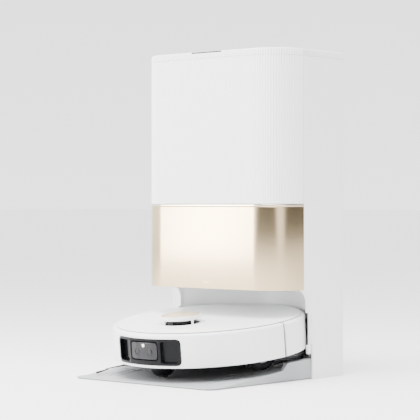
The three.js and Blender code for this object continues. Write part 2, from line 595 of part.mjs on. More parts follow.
// Riser that carries dust from the bay's back up to the bag compartment.
function suctionDuct() {
  const outer = post(DUCT_X, DUCT_Y, DUCT.radius, RAIL_HEIGHT + 80, BAY_FLOOR + 52, 24);
  const bore = post(DUCT_X, DUCT_Y, DUCT.radius - DUCT.wall, RAIL_HEIGHT + 79, BAY_FLOOR + 53, 24);
  return outer.subtract(bore);
}

const detergentCartridge = () =>
  prism(roundedPlan(48, 12, 86, 14, 6), BAY_FLOOR + 2, BAY_FLOOR + 118, 5).translate([-72, 0, 0]);

function washPump() {
  const motor = axle(-150, -108, BACK - 50, BAY_FLOOR + 26, 17, 20);
  const head = axle(-108.01, -92, BACK - 50, BAY_FLOOR + 26, 22, 20);
  return union(motor, head);
}

const dockBoard = () => box(14, 54, BACK - 80, BACK - 12, BAY_FLOOR + 120, BAY_FLOOR + 122);

function powerInlet() {
  const x = INLET.x;
  const flange = box(x - INLET.halfWidth, x + INLET.halfWidth, BACK - SHELL - 16, BACK - 0.5, INLET.z0,
      INLET.z1);
  const mouth = box(x - 11, x + 11, BACK - 15, BACK + 1, INLET.z0 + 4.5, INLET.z1 - 4.5);
  const pins = [-1, 1].map((side) => box(x + side * 5 - 1, x + side * 5 + 1, BACK - 16, BACK - 3,
    INLET.z0 + 10, INLET.z1 - 10));
  return union(flange.subtract(mouth), ...pins);
}

// One rubber frame under the tray.
const footFrame = () => box(-TRAY_HALF + 30, TRAY_HALF - 30, LIP + 30, BACK - 50, 0, FOOT - 0.05)
  .subtract(box(-TRAY_HALF + 42, TRAY_HALF - 42, LIP + 42, BACK - 62, -1, FOOT + 1));


function guideRoller() {
  const r = ROLLER_RADIUS;
  const h = ROLLER_HEIGHT;
  return turned([[1.5, 0], [r - 1.5, 0], [r, 1.5], [r, h - 1.5], [r - 1.5, h], [1.5, h]], 16);
}

function chargeContact() {
  return box(-CONTACT.width / 2, CONTACT.width / 2, -CONTACT.reach, 4, -CONTACT.height / 2,
      CONTACT.height / 2);
}

// ---------------------------------------------------------------- robot: shells
// A tall wedge from one angle to another about the robot's centre, angles from +X towards +Y.
function sector(from, to) {
  const steps = 12;
  const points = [[0, 0]];
  for (let i = 0; i <= steps; i++) {
    const angle = from + ((to - from) * i) / steps;
    points.push([2 * ROBOT_RADIUS * Math.cos(angle), 2 * ROBOT_RADIUS * Math.sin(angle)]);
  }
  return prism(polygon(points), -10, 200);
}

// The body's outer skin all the way round: vertical side, rounded shoulder, flange under the top cover.
function bodySkin() {
  const r = ROBOT_RADIUS;
  const w = BODY_WALL;
  const top = BODY_TOP - GAP;
  const outer = [[r - 1.2, BODY_BOTTOM], [r, BODY_BOTTOM + 1.5]];
  const inner = [];
  const steps = 3;
  for (let i = 0; i <= steps; i++) {
    const angle = ((Math.PI / 2) * i) / steps;
    const at = (radius) => [r - SHOULDER + radius * Math.cos(angle),
        top - SHOULDER + radius * Math.sin(angle)];
    outer.push(at(SHOULDER));
    inner.unshift(at(SHOULDER - w));
  }
  return turned([...outer, [COVER_RADIUS - 3, top], [COVER_RADIUS - 3, top - w], ...inner, [r - w,
      BODY_BOTTOM]], 64);
}

function bumper() {
  const front = box(-FAR, FAR, -FAR, -1, -10, 200);
  const eyeHole = roundedFace(EYE.halfWidth + GAP, EYE.bottom - GAP, EYE.top + GAP, EYE.corner, -FAR,
      -ROBOT_RADIUS / 2);
  return bodySkin().intersect(front).subtract(eyeHole);
}

function sideShell() {
  const rear = box(-FAR, FAR, BUMPER_GAP - 1, FAR, -10, 200);
  const back = Math.PI / 2;
  const keep = sector(back - VENT_HALF_ANGLE, back + VENT_HALF_ANGLE)
    .intersect(box(-FAR, FAR, 0, FAR, -10, BODY_TOP - 10));
  const foot = ring(ROBOT_RADIUS - BODY_WALL + 0.5, CHASSIS_RADIUS + GAP, BODY_BOTTOM, BODY_BOTTOM + 3,
      64);
  return union(bodySkin(), foot).intersect(rear).subtract(keep);
}

function rearVent() {
  const back = Math.PI / 2;
  const margin = 0.0035;
  const band = turned([[ROBOT_RADIUS - 5, BODY_BOTTOM - 4], [ROBOT_RADIUS + 0.6, BODY_BOTTOM - 4],
    [ROBOT_RADIUS + 0.6, BODY_TOP - 11], [ROBOT_RADIUS - 5, BODY_TOP - 11]], 64)
    .intersect(sector(back - VENT_HALF_ANGLE + margin, back + VENT_HALF_ANGLE - margin));
  const slots = [];
  const count = 9;
  for (let i = 0; i < count; i++) {
    const angle = back + THREE.MathUtils.degToRad((i - (count - 1) / 2) * 2.6);
    const cut = box(-1.2, 1.2, ROBOT_RADIUS - 10, ROBOT_RADIUS + 10, BODY_BOTTOM + 22, BODY_TOP - 18);
    slots.push(cut.rotate([0, 0, THREE.MathUtils.radToDeg(angle) - 90]));
  }
  return slots.reduce((body, cut) => body.subtract(cut), band);
}

// ---------------------------------------------------------------- robot: chassis
function chassis() {
  const r = CHASSIS_RADIUS;
  const ringTop = BODY_TOP - 8;
  const floor = CHASSIS_BOTTOM + PLATE;
  const pan = turned([[0.01, CHASSIS_BOTTOM], [r - 16, CHASSIS_BOTTOM], [r - 9, CHASSIS_BOTTOM + 1],
    [r, BODY_BOTTOM - 0.5], [r, BODY_BOTTOM + 2], [r - 3, BODY_BOTTOM + 2], [r - 7, floor],
    [0.01, floor]], 64);
  const wall = ring(r - 3, r - 6, CHASSIS_BOTTOM + PLATE - 0.5, ringTop, 48);
  const eyeRoom = box(-EYE.halfWidth - 8, EYE.halfWidth + 8, -FAR, -ROBOT_RADIUS / 2,
      BODY_BOTTOM + 0.5, FAR);
  const turretPosts = [60, 120, 240, 300].map(THREE.MathUtils.degToRad).map((angle) => post(
    (TURRET.base - 5) * Math.cos(angle), TURRET_Y + (TURRET.base - 5) * Math.sin(angle), 3.5,
    CHASSIS_BOTTOM + PLATE - 0.5, BODY_TOP - 12, 12));
  const cuts = [
    ...[-1, 1].map((side) => post(side * MOP_X, MOP_Y, MOP_RADIUS + 2, 0, BODY_BOTTOM, 28)),
    ...[-1, 1].map((side) => box(side * (WHEEL_X - 3) - WHEEL.width / 2 - 9,
      side * (WHEEL_X - 3) + WHEEL.width / 2 + 9,
      ARM.pivotY - 10, WHEEL.radius + 5, 0, BODY_BOTTOM)),
    box(-ROLLER_HALF - 4, ROLLER_HALF + 4, ROLLER.y - ROLLER.radius - 3, ROLLER.y + ROLLER.radius + 3,
      0, BODY_BOTTOM),
    post(0, CASTER_Y, CASTER.stem + 2, 0, BODY_BOTTOM, 24),
    post(BRUSH_X, BRUSH_Y, 4, 0, BODY_BOTTOM, 16),
  ];
  return union(cuts.reduce((body, cut) => body.subtract(cut), union(pan, wall)),
      ...turretPosts).subtract(eyeRoom);
}

// ---------------------------------------------------------------- robot: sensor eye
function eyeSurround() {
  const outerRadius = ROBOT_RADIUS + 1.5;
  const curved = ring(outerRadius, outerRadius - EYE.depth, 0, 120, 64);
  const face = roundedFace(EYE.halfWidth, EYE.bottom, EYE.top, EYE.corner - GAP, -FAR, -ROBOT_RADIUS / 2);
  const rim = 4;
  const side = EYE_BLOCK.halfWidth + EYE_RING;
  const cavityDepth = ring(FAR, outerRadius - 8, 0, 120, 64);
  const cavities = [-1, 1].map((sign) => roundedFace((EYE.halfWidth - rim - side) / 2,
      EYE.bottom + rim, EYE.top - rim,
    EYE.corner - rim, -FAR, -ROBOT_RADIUS / 2).translate([sign * (side + EYE.halfWidth - rim) / 2, 0, 0])
    .intersect(cavityDepth));
  const socket = roundedFace(EYE_BLOCK.halfWidth + 2, EYE_BLOCK.bottom - 2, EYE_BLOCK.top + 2,
      EYE_BLOCK.corner + 1,
    -FAR, -ROBOT_RADIUS / 2).intersect(ring(FAR, outerRadius - 9, 0, 120, 64));
  return [...cavities, socket].reduce((body, cut) => body.subtract(cut), curved.intersect(face));
}

function eyeWindow() {
  const block = roundedFace(EYE_BLOCK.halfWidth, EYE_BLOCK.bottom, EYE_BLOCK.top, EYE_BLOCK.corner,
      -FAR, -100);
  const lampHole = box(-LAMP.half - GAP, LAMP.half + GAP, -FAR, -ROBOT_RADIUS + 2,
      LAMP.z - LAMP.half - GAP,
    LAMP.z + LAMP.half + GAP);
  return block.intersect(ring(ROBOT_RADIUS + 2, ROBOT_RADIUS - 7, 0, 120, 64)).subtract(lampHole);
}

const eyeLamp = () => box(-LAMP.half, LAMP.half, -ROBOT_RADIUS - 1.6, -ROBOT_RADIUS + 1.7,
    LAMP.z - LAMP.half,
  LAMP.z + LAMP.half);

// ---------------------------------------------------------------- robot: top
function topCover() {
  const r = COVER_RADIUS;
  const z = BODY_TOP;
  const rise = 1.2; // the cover is slightly crowned
  const disc = turned([[0.01, z], [r, z], [r, z + 1.4], [r - 1.2, z + COVER_THICK], [r / 2,
      z + COVER_THICK + rise / 2],
    [0.01, z + COVER_THICK + rise]], 64);
  const turretHole = post(0, TURRET_Y, TURRET.base + 1, z - 1, z + 20, 32);
  const keyHoles = [-1, 1].map((side) => keyShape(side * KEY_BAR.apart / 2, KEY_BAR.radius + RUNNING,
      z - 1, z + 20));
  return keyHoles.reduce((body, cut) => body.subtract(cut), disc.subtract(turretHole));
}

// A flat pill along X, centred on one of the two keys.
function keyShape(x, radius, z0, z1) {
  const reach = KEY_BAR.halfLength - KEY_BAR.radius;
  const ends = [-1, 1].map((side) => post(x + side * reach, KEY_Y, radius, z0, z1, 20));
  return union(...ends, box(x - reach, x + reach, KEY_Y - radius, KEY_Y + radius, z0, z1));
}

function topKey(side) {
  return keyShape(side * KEY_BAR.apart / 2, KEY_BAR.radius, BODY_TOP - 3, BODY_TOP + COVER_THICK + 0.7);
}

function lidarHousing() {
  const t = TURRET;
  const z = BODY_TOP;
  const slotZ = z + t.slotBottom;
  const base = turned([[t.radius - 4, z - 11], [t.base - 3, z - 11], [t.base - 3, z - 2], [t.base, z + 1],
    [t.base, z + COVER_THICK + 0.8], [t.radius + 1, slotZ], [t.radius - 4, slotZ]], 32, 0, TURRET_Y);
  const low = z + t.slotTop;
  const top = z + t.rise;
  const lip = CAP_RADIUS + GAP;
  const cap = turned([[0.01, low], [t.radius - 0.8, low], [t.radius, low + 1], [t.radius, top - 1.5],
    [t.radius - 1.5, top], [lip, top], [lip, top - 1], [0.01, top - 1]], 32, 0, TURRET_Y);
  const reach = t.radius - 2.6;
  const posts = t.posts.map((degrees) => {
    const angle = THREE.MathUtils.degToRad(degrees);
    return post(reach * Math.cos(angle), TURRET_Y + reach * Math.sin(angle), 2.3, slotZ - 1, low + 1, 8);
  });
  return union(base, cap, ...posts);
}

function lidarCap() {
  const top = BODY_TOP + TURRET.rise;
  return post(0, TURRET_Y, CAP_RADIUS, top - 1 + GAP, top + 0.8, 32);
}

function lidarHead() {
  const t = TURRET;
  const top = BODY_TOP + t.slotTop;
  const drum = post(0, TURRET_Y, t.radius - 10, BODY_TOP - 8, top - RUNNING, 32);
  const nose = box(-7.5, 7.5, TURRET_Y - t.radius + 6.8, TURRET_Y - 20,
    BODY_TOP + t.slotBottom + 0.8, top - 1.2);
  return union(drum, nose);
}

// ---------------------------------------------------------------- robot: running gear
function driveTyre(side) {
  const x = side * WHEEL_X;
  const half = WHEEL.width / 2;
  const geometry = new THREE.LatheGeometry([[WHEEL.hub + GAP, -half], [WHEEL.radius - 3, -half],
      [WHEEL.radius, -half + 4],
    [WHEEL.radius, half - 4], [WHEEL.radius - 3, half], [WHEEL.hub + GAP, half], [WHEEL.hub + GAP, -half]]
    .map(([r, a]) => new THREE.Vector2(r, a)), 32);
  return solid(geometry.rotateZ(Math.PI / 2).translate(x, WHEEL.y, WHEEL.radius));
}

function wheelHub(side) {
  const x = side * WHEEL_X;
  const half = WHEEL.width / 2 - 1;
  const disc = axle(x - half, x + half, WHEEL.y, WHEEL.radius, WHEEL.hub, 40);
  const bore = axle(Math.min(x - side * FAR, x + side * (half - 4)), Math.max(x - side * FAR,
      x + side * (half - 4)),
    WHEEL.y, WHEEL.radius, WHEEL.pin + RUNNING, 20);
  return disc.subtract(bore);
}

function wheelArm(side) {
  const inner = side * (WHEEL_X - WHEEL.width / 2 - 2 - ARM.thick);
  const outer = side * (WHEEL_X - WHEEL.width / 2 - 2);
  const x0 = Math.min(inner, outer);
  const x1 = Math.max(inner, outer);
  const bar = sideways(polygon([[ARM.pivotY - 7, ARM.pivotZ - 8], [WHEEL.y + 9, WHEEL.radius - 9],
    [WHEEL.y + 9, WHEEL.radius + 9], [ARM.pivotY - 7, ARM.pivotZ + 8]]), x0, x1);
  const tip = side * (WHEEL_X + WHEEL.width / 2 - 6);
  const pin = axle(Math.min(inner, tip), Math.max(inner, tip), WHEEL.y, WHEEL.radius, WHEEL.pin, 20);
  return union(bar, pin);
}

function casterFork() {
  const c = CASTER;
  const top = CHASSIS_BOTTOM - RUNNING;
  const dome = turned([[0.01, c.bottom], [c.dome - 9, c.bottom], [c.dome - 4, c.bottom + 3.5],
    [c.dome - 1, c.bottom + 8], [c.dome, top - 2], [c.dome, top], [c.stem, top], [c.stem, top + 6],
    [0.01, top + 6]], 28, 0, CASTER_Y);
  const reach = c.wheel + 1.5;
  const slot = box(-c.width / 2 - 1, c.width / 2 + 1, CASTER_Y - reach, CASTER_Y + reach, -1, c.z + reach);
  const pin = axle(-c.width / 2 - 3, c.width / 2 + 3, CASTER_Y, c.z, c.pin, 12);
  return union(dome.subtract(slot), pin);
}

function casterWheel() {
  const c = CASTER;
  const disc = axle(-c.width / 2, c.width / 2, CASTER_Y, c.z, c.wheel, 28);
  return disc.subtract(axle(-c.width, c.width, CASTER_Y, c.z, c.pin + GAP, 12));
}

// Hub with two swept arms that slope down to the floor.
function sideBrush() {
  const b = SIDE_BRUSH;
  const disc = post(BRUSH_X, BRUSH_Y, b.hub, b.top - 5, b.top, 28);
  const hub = union(disc, post(BRUSH_X, BRUSH_Y, 3.4, b.top - 1, CHASSIS_BOTTOM + 6, 16));
  const slope = THREE.MathUtils.radToDeg(Math.atan2(b.drop, b.reach));
  const arms = b.angles.map((angle) => {
    const length = b.reach - b.hub;
    const arm = new THREE.Shape();
    arm.moveTo(b.hub - 3, -b.width / 2);
    arm.quadraticCurveTo(b.hub + length / 2, -b.bend + 6, b.reach, 0);
    arm.lineTo(b.reach - 1, 3);
    arm.quadraticCurveTo(b.hub + length / 2, -b.bend + 16, b.hub - 3, b.width / 2);
    const blade = prism(arm, 0, 2.2, 6);
    return blade.rotate([0, slope, 0]).translate([0, 0, b.top - 3]).rotate([0, 0, angle])
      .translate([BRUSH_X, BRUSH_Y, 0]);
  });
  return union(hub, ...arms);
}

function mainBrush() {
  const r = ROLLER;
  const core = axle(-ROLLER_HALF, ROLLER_HALF, r.y, r.centre, 13, 24);
  const ends = axle(-ROLLER_HALF - 3, ROLLER_HALF + 3, r.y, r.centre, 4, 16);
  const blades = Array.from({ length: 6 }, (_, i) => {
    const angle = (i * Math.PI) / 3;
    const fin = box(-ROLLER_HALF + 2, ROLLER_HALF - 2, -1.5, 1.5, 11, r.radius);
    return fin.rotate([THREE.MathUtils.radToDeg(angle), 0, 0]).translate([0, r.y, r.centre]);
  });
  return union(core, ends, ...blades);
}

// Cage under the roller: an outer frame with bars across the opening.
function brushGuard() {
  const r = ROLLER;
  const half = ROLLER_HALF + GUARD.margin;
  const z1 = CHASSIS_BOTTOM - GAP;
  return box(-half, half, r.y - GUARD.front, r.y + GUARD.back, z1 - 2, z1)
    .subtract(box(-ROLLER_HALF - 4, ROLLER_HALF + 4, r.y - r.radius - 0.6, r.y + r.radius + 0.6, 0, FAR));
}

// ---------------------------------------------------------------- robot: mops
// One bracket lifts both mops; each hangs from it on its own spindle.
function mopBracket() {
  const z0 = BODY_BOTTOM + 1;
  const bar = box(-MOP_X - 14, MOP_X + 14, MOP_Y - 12, MOP_Y + 12, z0, z0 + 9);
  const tip = MOP.bottom + MOP.pad + MOP.disc + 1.1;
  const spindles = [-1, 1].map((side) => post(side * MOP_X, MOP_Y, 5, tip, z0 + 1, 16));
  return union(bar, ...spindles);
}

function mopDisc(side) {
  const x = side * MOP_X;
  const z = MOP.bottom + MOP.pad + GAP;
  const disc = post(x, MOP_Y, MOP_RADIUS - 1, z, z + MOP.disc, 32);
  const collar = ring(10, 5 + RUNNING, z + MOP.disc - 0.5, z + MOP.disc + 6, 20, x, MOP_Y);
  return union(disc, collar);
}

function mopPad(side) {
  const z0 = MOP.bottom;
  const z1 = z0 + MOP.pad;
  const r = MOP_RADIUS;
  return turned([[9, z0], [r - 2, z0], [r, z0 + 2], [r, z1 - 1.5], [r - 1, z1], [9, z1]], 28,
      side * MOP_X, MOP_Y);
}

// ---------------------------------------------------------------- robot: insides
function dustBox() {
  const x = DUST_BOX.halfWidth;
  const z = DUST_BOX.bottom;
  const y0 = ROLLER.y + GUARD.back + DUST_BOX.ahead;
  const y1 = ROBOT_RADIUS - DUST_BOX.back;
  const bin = box(-x, x, y0, y1, z, BODY_TOP - 5);
  const room = box(-x + 2, x - 2, y0 + 2, y1 - 2, z + 2, BODY_TOP - 8);
  const mouth = box(-30, 30, y0 - 1, y0 + 4, z + 6, z + 24);
  return bin.subtract(room).subtract(mouth);
}

function batteryPack() {
  const front = CASTER_Y + CASTER.dome + 7.5;
  const back = ROLLER.y - GUARD.front - 17;
  return box(-BATTERY.halfWidth, BATTERY.halfWidth, front, back, CHASSIS_BOTTOM + PLATE + GAP,
      BATTERY.top);
}

function robotFan() {
  const f = ROBOT_FAN;
  const top = BODY_TOP - 10;
  return turned([[f.eye, f.bottom], [f.outer, f.bottom], [f.outer, top - 12], [f.outer - 6, top],
      [f.eye, top]],
    28, 0, ROBOT_RADIUS - f.inboard);
}

// ---------------------------------------------------------------- assembly
const dock = new THREE.Group();
const robot = new THREE.Group();
robot.position.set(0, ROBOT_Y, ROBOT_Z);
robot.rotation.x = RAMP_ANGLE;
dock.add(robot);

function place(group, name, body, material, position = [0, 0, 0]) {
  const mesh = new THREE.Mesh(geometryOf(body), material);
  mesh.name = name;
  mesh.position.set(...position);
  group.add(mesh);
}

const M = MATERIAL;
place(dock, "dock_housing", dockHousing(), M.white);
place(dock, "dock_frame", dockFrame(), M.trayWhite);
place(dock, "recess_liner", recessLiner(), M.white);
place(dock, "base_tray", baseTray(), M.trayWhite);
place(dock, "ramp_plate", rampPlate(), M.greyPlastic);
place(dock, "washboard", washboard(), M.greyPlastic);
place(dock, "fluted_panel", frontShell(COVER_WALL + FLUTE_DEPTH, FLUTES_BOTTOM, HOUSING_TOP, true),
    M.white);
place(dock, "top_lid", topLid(), M.white);
place(dock, "lid_hinge_rod", lidHingeRod(), M.steel);
place(dock, "lower_door", lowerDoor(), M.champagne);
place(dock, "door_trim_strip", frontShell(COVER_WALL, DOOR_TOP, TRIM_TOP, false), M.champagne);
for (const [side, kind, glass] of [[1, "clean", M.clearBlue], [-1, "dirty", M.smoke]]) {
  place(dock, `${kind}_water_tank`, waterTank(side), glass);
  place(dock, `${kind}_tank_cap`, tankCap(side), M.white);
}
place(dock, "dust_bag", dustBag(), M.paper);
place(dock, "dust_bag_collar", bagCollar(), M.paper);
place(dock, "suction_fan", suctionFan(), M.blackPlastic);
place(dock, "suction_duct", suctionDuct(), M.blackPlastic);
place(dock, "detergent_cartridge", detergentCartridge(), M.greyPlastic);
place(dock, "wash_pump", washPump(), M.blackPlastic);
place(dock, "dock_control_board", dockBoard(), M.board);
place(dock, "power_inlet", powerInlet(), M.blackPlastic);
place(dock, "foot_frame", footFrame(), M.rubber);

for (const [side, name] of [[-1, "left"], [1, "right"]]) {
  place(dock, `guide_roller_${name}`, guideRoller(), M.rubber, [side * ROLLER_X, ROLLER_Y, ROLLER_Z]);
  place(dock, `charge_contact_${name}`, chargeContact(), M.nickel,
    [(side * CONTACT.apart) / 2, BAY_Y + BAY_RADIUS, CONTACT.z]);
  place(robot, `wheel_arm_${name}`, wheelArm(side), M.blackPlastic);
  place(robot, `drive_tyre_${name}`, driveTyre(side), M.rubber);
  place(robot, `wheel_hub_${name}`, wheelHub(side), M.greyPlastic);
  place(robot, `mop_disc_${name}`, mopDisc(side), M.greyPlastic);
  place(robot, `mop_pad_${name}`, mopPad(side), M.mopCloth);
}
place(robot, "robot_chassis", chassis(), M.blackPlastic);
place(robot, "robot_side_shell", sideShell(), M.white);
place(robot, "rear_vent_band", rearVent(), M.blackPlastic);
place(robot, "front_bumper", bumper(), M.white);
place(robot, "sensor_surround", eyeSurround(), M.blackPlastic);
place(robot, "sensor_window", eyeWindow(), M.darkGlass);
place(robot, "sensor_lamp", eyeLamp(), M.lamp);
place(robot, "top_cover", topCover(), M.white);
place(robot, "lidar_housing", lidarHousing(), M.white);
place(robot, "lidar_cap", lidarCap(), M.champagne);
place(robot, "lidar_head", lidarHead(), M.blackPlastic);
place(robot, "power_key", topKey(-1), M.white);
place(robot, "home_key", topKey(1), M.white);
place(robot, "caster_fork", casterFork(), M.blackPlastic);
place(robot, "caster_wheel", casterWheel(), M.rubber);
place(robot, "side_brush", sideBrush(), M.bristle);
place(robot, "main_brush", mainBrush(), M.rubber);
place(robot, "brush_guard", brushGuard(), M.blackPlastic);
place(robot, "mop_lift_bracket", mopBracket(), M.blackPlastic);
place(robot, "robot_dust_box", dustBox(), M.smoke);
place(robot, "battery_pack", batteryPack(), M.battery);
place(robot, "robot_fan", robotFan(), M.blackPlastic);

export default dock;
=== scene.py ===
"""A robot vacuum cleaner parked in its self-emptying, self-washing dock, laid out as a Blender add-on.

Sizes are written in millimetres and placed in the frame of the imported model, in metres.
"""

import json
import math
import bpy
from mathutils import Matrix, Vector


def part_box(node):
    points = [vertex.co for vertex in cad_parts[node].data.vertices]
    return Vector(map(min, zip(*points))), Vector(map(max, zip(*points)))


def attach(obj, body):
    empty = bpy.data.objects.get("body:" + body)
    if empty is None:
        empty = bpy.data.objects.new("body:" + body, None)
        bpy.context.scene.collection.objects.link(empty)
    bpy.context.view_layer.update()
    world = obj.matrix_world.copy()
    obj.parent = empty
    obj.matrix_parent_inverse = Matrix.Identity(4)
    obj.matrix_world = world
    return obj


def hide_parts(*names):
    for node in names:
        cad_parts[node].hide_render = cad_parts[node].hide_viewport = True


bl_info = {
    "name": "Robot vacuum and dock",
    "version": (1, 0, 0),
    "blender": (4, 5, 0),
    "location": "View3D > Sidebar > Vacuum",
    "description": "Builds the finished surfaces of a robot vacuum and its cleaning dock",
    "category": "Object",
}

import bmesh
import bpy
from bpy.props import FloatProperty, FloatVectorProperty, IntProperty, PointerProperty
from mathutils import Matrix, Vector

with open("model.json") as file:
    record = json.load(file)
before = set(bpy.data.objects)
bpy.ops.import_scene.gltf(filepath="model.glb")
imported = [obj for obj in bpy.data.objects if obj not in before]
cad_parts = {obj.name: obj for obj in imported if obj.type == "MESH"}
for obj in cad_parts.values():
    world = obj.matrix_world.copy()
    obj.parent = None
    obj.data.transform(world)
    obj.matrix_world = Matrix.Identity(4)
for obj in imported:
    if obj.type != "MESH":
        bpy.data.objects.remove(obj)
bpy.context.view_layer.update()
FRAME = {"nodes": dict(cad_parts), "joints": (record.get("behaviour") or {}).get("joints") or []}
MM = 0.001
DOCK = Matrix.Scale(MM, 4)
METRES = Matrix.Scale(1000, 4)  # lays a piece made in metres into a frame in millimetres
JOINTS = {joint["name"]: joint for joint in FRAME["joints"]}
SIDES = (("left", -1), ("right", 1))

# Places in the robot's own frame, in millimetres.
WHEEL_RADIUS = 36
WHEEL_X = 115
TURRET = (0, -74)
KEY_Y = -131
BRUSH_X, BRUSH_Y = -108, -98
ROLLER_Y, ROLLER_Z = -3, 23
SKIRT, SHOULDER, SHELL_TOP = 26, 75.3, 85.7  # the shell's lower edge, the top of the black rear vent band (a vent panel and also painted shade), the shell's top
LIP_RADIUS, INNER_RADIUS = 164, 172  # the shell's inner edge under the cover, its inner wall
COVER_RADIUS = 167
POSTS = (-108, -12, 80, 168)  # degrees round the turret


def robot_frame():
    """The robot's own frame: origin under its centre on the ramp, +Y to its rear, +Z up through it."""
    up = Vector(JOINTS["lidar_spin"]["axis"]).normalized()
    left, right = (Vector(JOINTS["drive_wheel_" + name + "_spin"]["pos_m"]) for name, _ in SIDES)
    origin = (left + right) / 2 - up * WHEEL_RADIUS * MM
    rear = Vector((0, up.z, -up.y))
    columns = Matrix((Vector((1, 0, 0)), rear, up)).transposed().to_4x4()
    return Matrix.Translation(origin) @ columns @ DOCK


ROBOT = robot_frame()


def linear(code):
    """An sRGB hex colour as linear RGBA."""
    channels = [int(code[i : i + 2], 16) / 255 for i in (1, 3, 5)]
    return [c / 12.92 if c <= 0.04045 else ((c + 0.055) / 1.055) ** 2.4 for c in channels] + [1.0]


# ---------------------------------------------------------------- materials


def add(tree, kind, settings=None, inputs=None):
    """Adds a node, sets its properties, and sets or links its inputs."""
    node = tree.nodes.new(kind)
    for key, value in (settings or {}).items():
        setattr(node, key, value)
    for key, value in (inputs or {}).items():
        if isinstance(value, bpy.types.NodeSocket):
            tree.links.new(value, node.inputs[key])
        else:
            node.inputs[key].default_value = value
    return node


def finish(name, colour, roughness, grain_mm, relief, inputs=None, spread=0.03, tint=0.03, stretch=(1, 1, 1)):
    """A surface that drifts slightly in colour, with a grain grain_mm across and relief metres high."""
    if name in bpy.data.materials:
        return bpy.data.materials[name]
    material = bpy.data.materials.new(name)
    material.use_nodes = True
    tree = material.node_tree
    shader = tree.nodes["Principled BSDF"]
    place = add(tree, "ShaderNodeTexCoord").outputs["Object"]
    turned = add(tree, "ShaderNodeMapping", None, {"Vector": place, "Scale": stretch}).outputs["Vector"]
    # Drift from the mould's flow and from handling, about 60 mm across.
    drift = add(tree, "ShaderNodeTexNoise", None, {"Vector": place, "Scale": 1 / 0.06, "Detail": 3.0})
    grain = add(tree, "ShaderNodeTexNoise", None, {"Vector": turned, "Scale": 1000 / grain_mm, "Detail": 2.0})
    dark = [c * (1 - tint) for c in colour[:3]] + [1.0]
    mix = add(tree, "ShaderNodeMix", {"data_type": "RGBA"}, {"Factor": drift.outputs["Fac"]})
    mix.inputs[6].default_value = colour
    mix.inputs[7].default_value = dark
    given = {"Value": grain.outputs["Fac"], "To Max": roughness + spread}
    given["To Min"] = max(roughness - spread, 0.02)
    rough = add(tree, "ShaderNodeMapRange", None, given)
    given = {"Height": grain.outputs["Fac"], "Distance": relief, "Strength": 1.0}
    bump = add(tree, "ShaderNodeBump", None, given)
    tree.links.new(mix.outputs[2], shader.inputs["Base Color"])
    tree.links.new(rough.outputs["Result"], shader.inputs["Roughness"])
    tree.links.new(bump.outputs["Normal"], shader.inputs["Normal"])
    for key, value in (inputs or {}).items():
        shader.inputs[key].default_value = value
    return material


def white_abs():
    # ABS from a polished mould: bright, a soft sheen, faint orange peel.
    colour = list(bpy.context.scene.vacuum_finishes.body)
    return finish("ABS polished mould white", colour, 0.3, 1.4, 0.000004, {"IOR": 1.53}, 0.03, 0.012)


def tray_abs():
    # ABS from a spark-eroded mould: the same white, dulled by a fine even grain.
    return finish("ABS spark-eroded white", linear("#E6E7E7"), 0.52, 0.7, 0.00002, {"IOR": 1.53}, 0.05, 0.02)


def grey_abs():
    # Light grey ABS, matt, with a grain that hides water marks.
    colour = linear("#BDBFC0")
    return finish("ABS spark-eroded light grey", colour, 0.58, 0.8, 0.00003, {"IOR": 1.53}, 0.06, 0.04)


def champagne_lacquer():
    # Pearl lacquer over polycarbonate: a warm satin metal look, flakes about a third of a millimetre apart.
    colour = list(bpy.context.scene.vacuum_finishes.door)
    inputs = {"Metallic": 0.95, "Coat Weight": 0.1, "Coat Roughness": 0.12}
    return finish("Lacquer champagne pearl", colour, 0.22, 0.5, 0.000003, inputs, 0.02, 0.02)


def champagne_bright():
    # Anodised and polished aluminium strip: a crisp warm mirror line.
    colour = linear("#E2D2BC")
    return finish("Aluminium anodised champagne", colour, 0.16, 0.4, 0.000001, {"Metallic": 1.0}, 0.03, 0.02)


def champagne_spun():
    # Anodised aluminium disc, turned on a lathe, so its sheen is soft.
    colour = linear("#CDBFAE")
    return finish("Aluminium turned champagne", colour, 0.33, 0.4, 0.000002, {"Metallic": 0.9}, 0.04, 0.03)


def black_abs():
    # Black ABS with a satin mould grain.
    colour = linear("#151618")
    return finish("ABS satin black", colour, 0.42, 0.6, 0.00002, {"Specular IOR Level": 0.22}, 0.07, 0.12)


def black_gloss():
    # Black polycarbonate from a mirror mould.
    colour = linear("#0D0E10")
    inputs = {"Specular IOR Level": 0.12}
    return finish("Polycarbonate gloss black", colour, 0.16, 2.0, 0.000002, inputs, 0.03, 0.1)


def window_pc():
    # Smoke polycarbonate that passes infrared: nearly black, and clear gloss over it.
    inputs = {"Specular IOR Level": 0.25, "Coat Weight": 0.1, "Coat Roughness": 0.03}
    return finish("Polycarbonate infrared smoke", linear("#1C1D20"), 0.1, 3.0, 0.000001, inputs, 0.02, 0.1)


def rubber():
    # Moulded natural rubber: black, matt, slightly dusty.
    return finish("Rubber moulded black", linear("#202123"), 0.78, 0.5, 0.00003, {"IOR": 1.52}, 0.08, 0.2)


def tyre_rubber():
    # Soft silicone-coated tyre rubber, grey from use.
    return finish("Rubber tyre dark grey", linear("#2B2C2E"), 0.7, 0.6, 0.00004, {"IOR": 1.45}, 0.1, 0.25)


def steel():
    # Drawn stainless rod with lines along it, about 0.3 mm apart.
    inputs = {"Metallic": 1.0}
    return finish("Steel drawn", linear("#B9BBBD"), 0.28, 0.5, 0.000004, inputs, 0.08, 0.06, (0.05, 1, 1))


def nickel():
    # Nickel plate on copper springs.
    return finish("Nickel plated", linear("#C9C3B2"), 0.22, 0.5, 0.000002, {"Metallic": 1.0}, 0.06, 0.05)


def clear_tank():
    # Blow-moulded clear copolyester with a faint blue tint.
    inputs = {"IOR": 1.57, "Transmission Weight": 0.85}
    return finish("Copolyester clear", linear("#DCE8EC"), 0.1, 6.0, 0.00002, inputs, 0.04, 0.02)


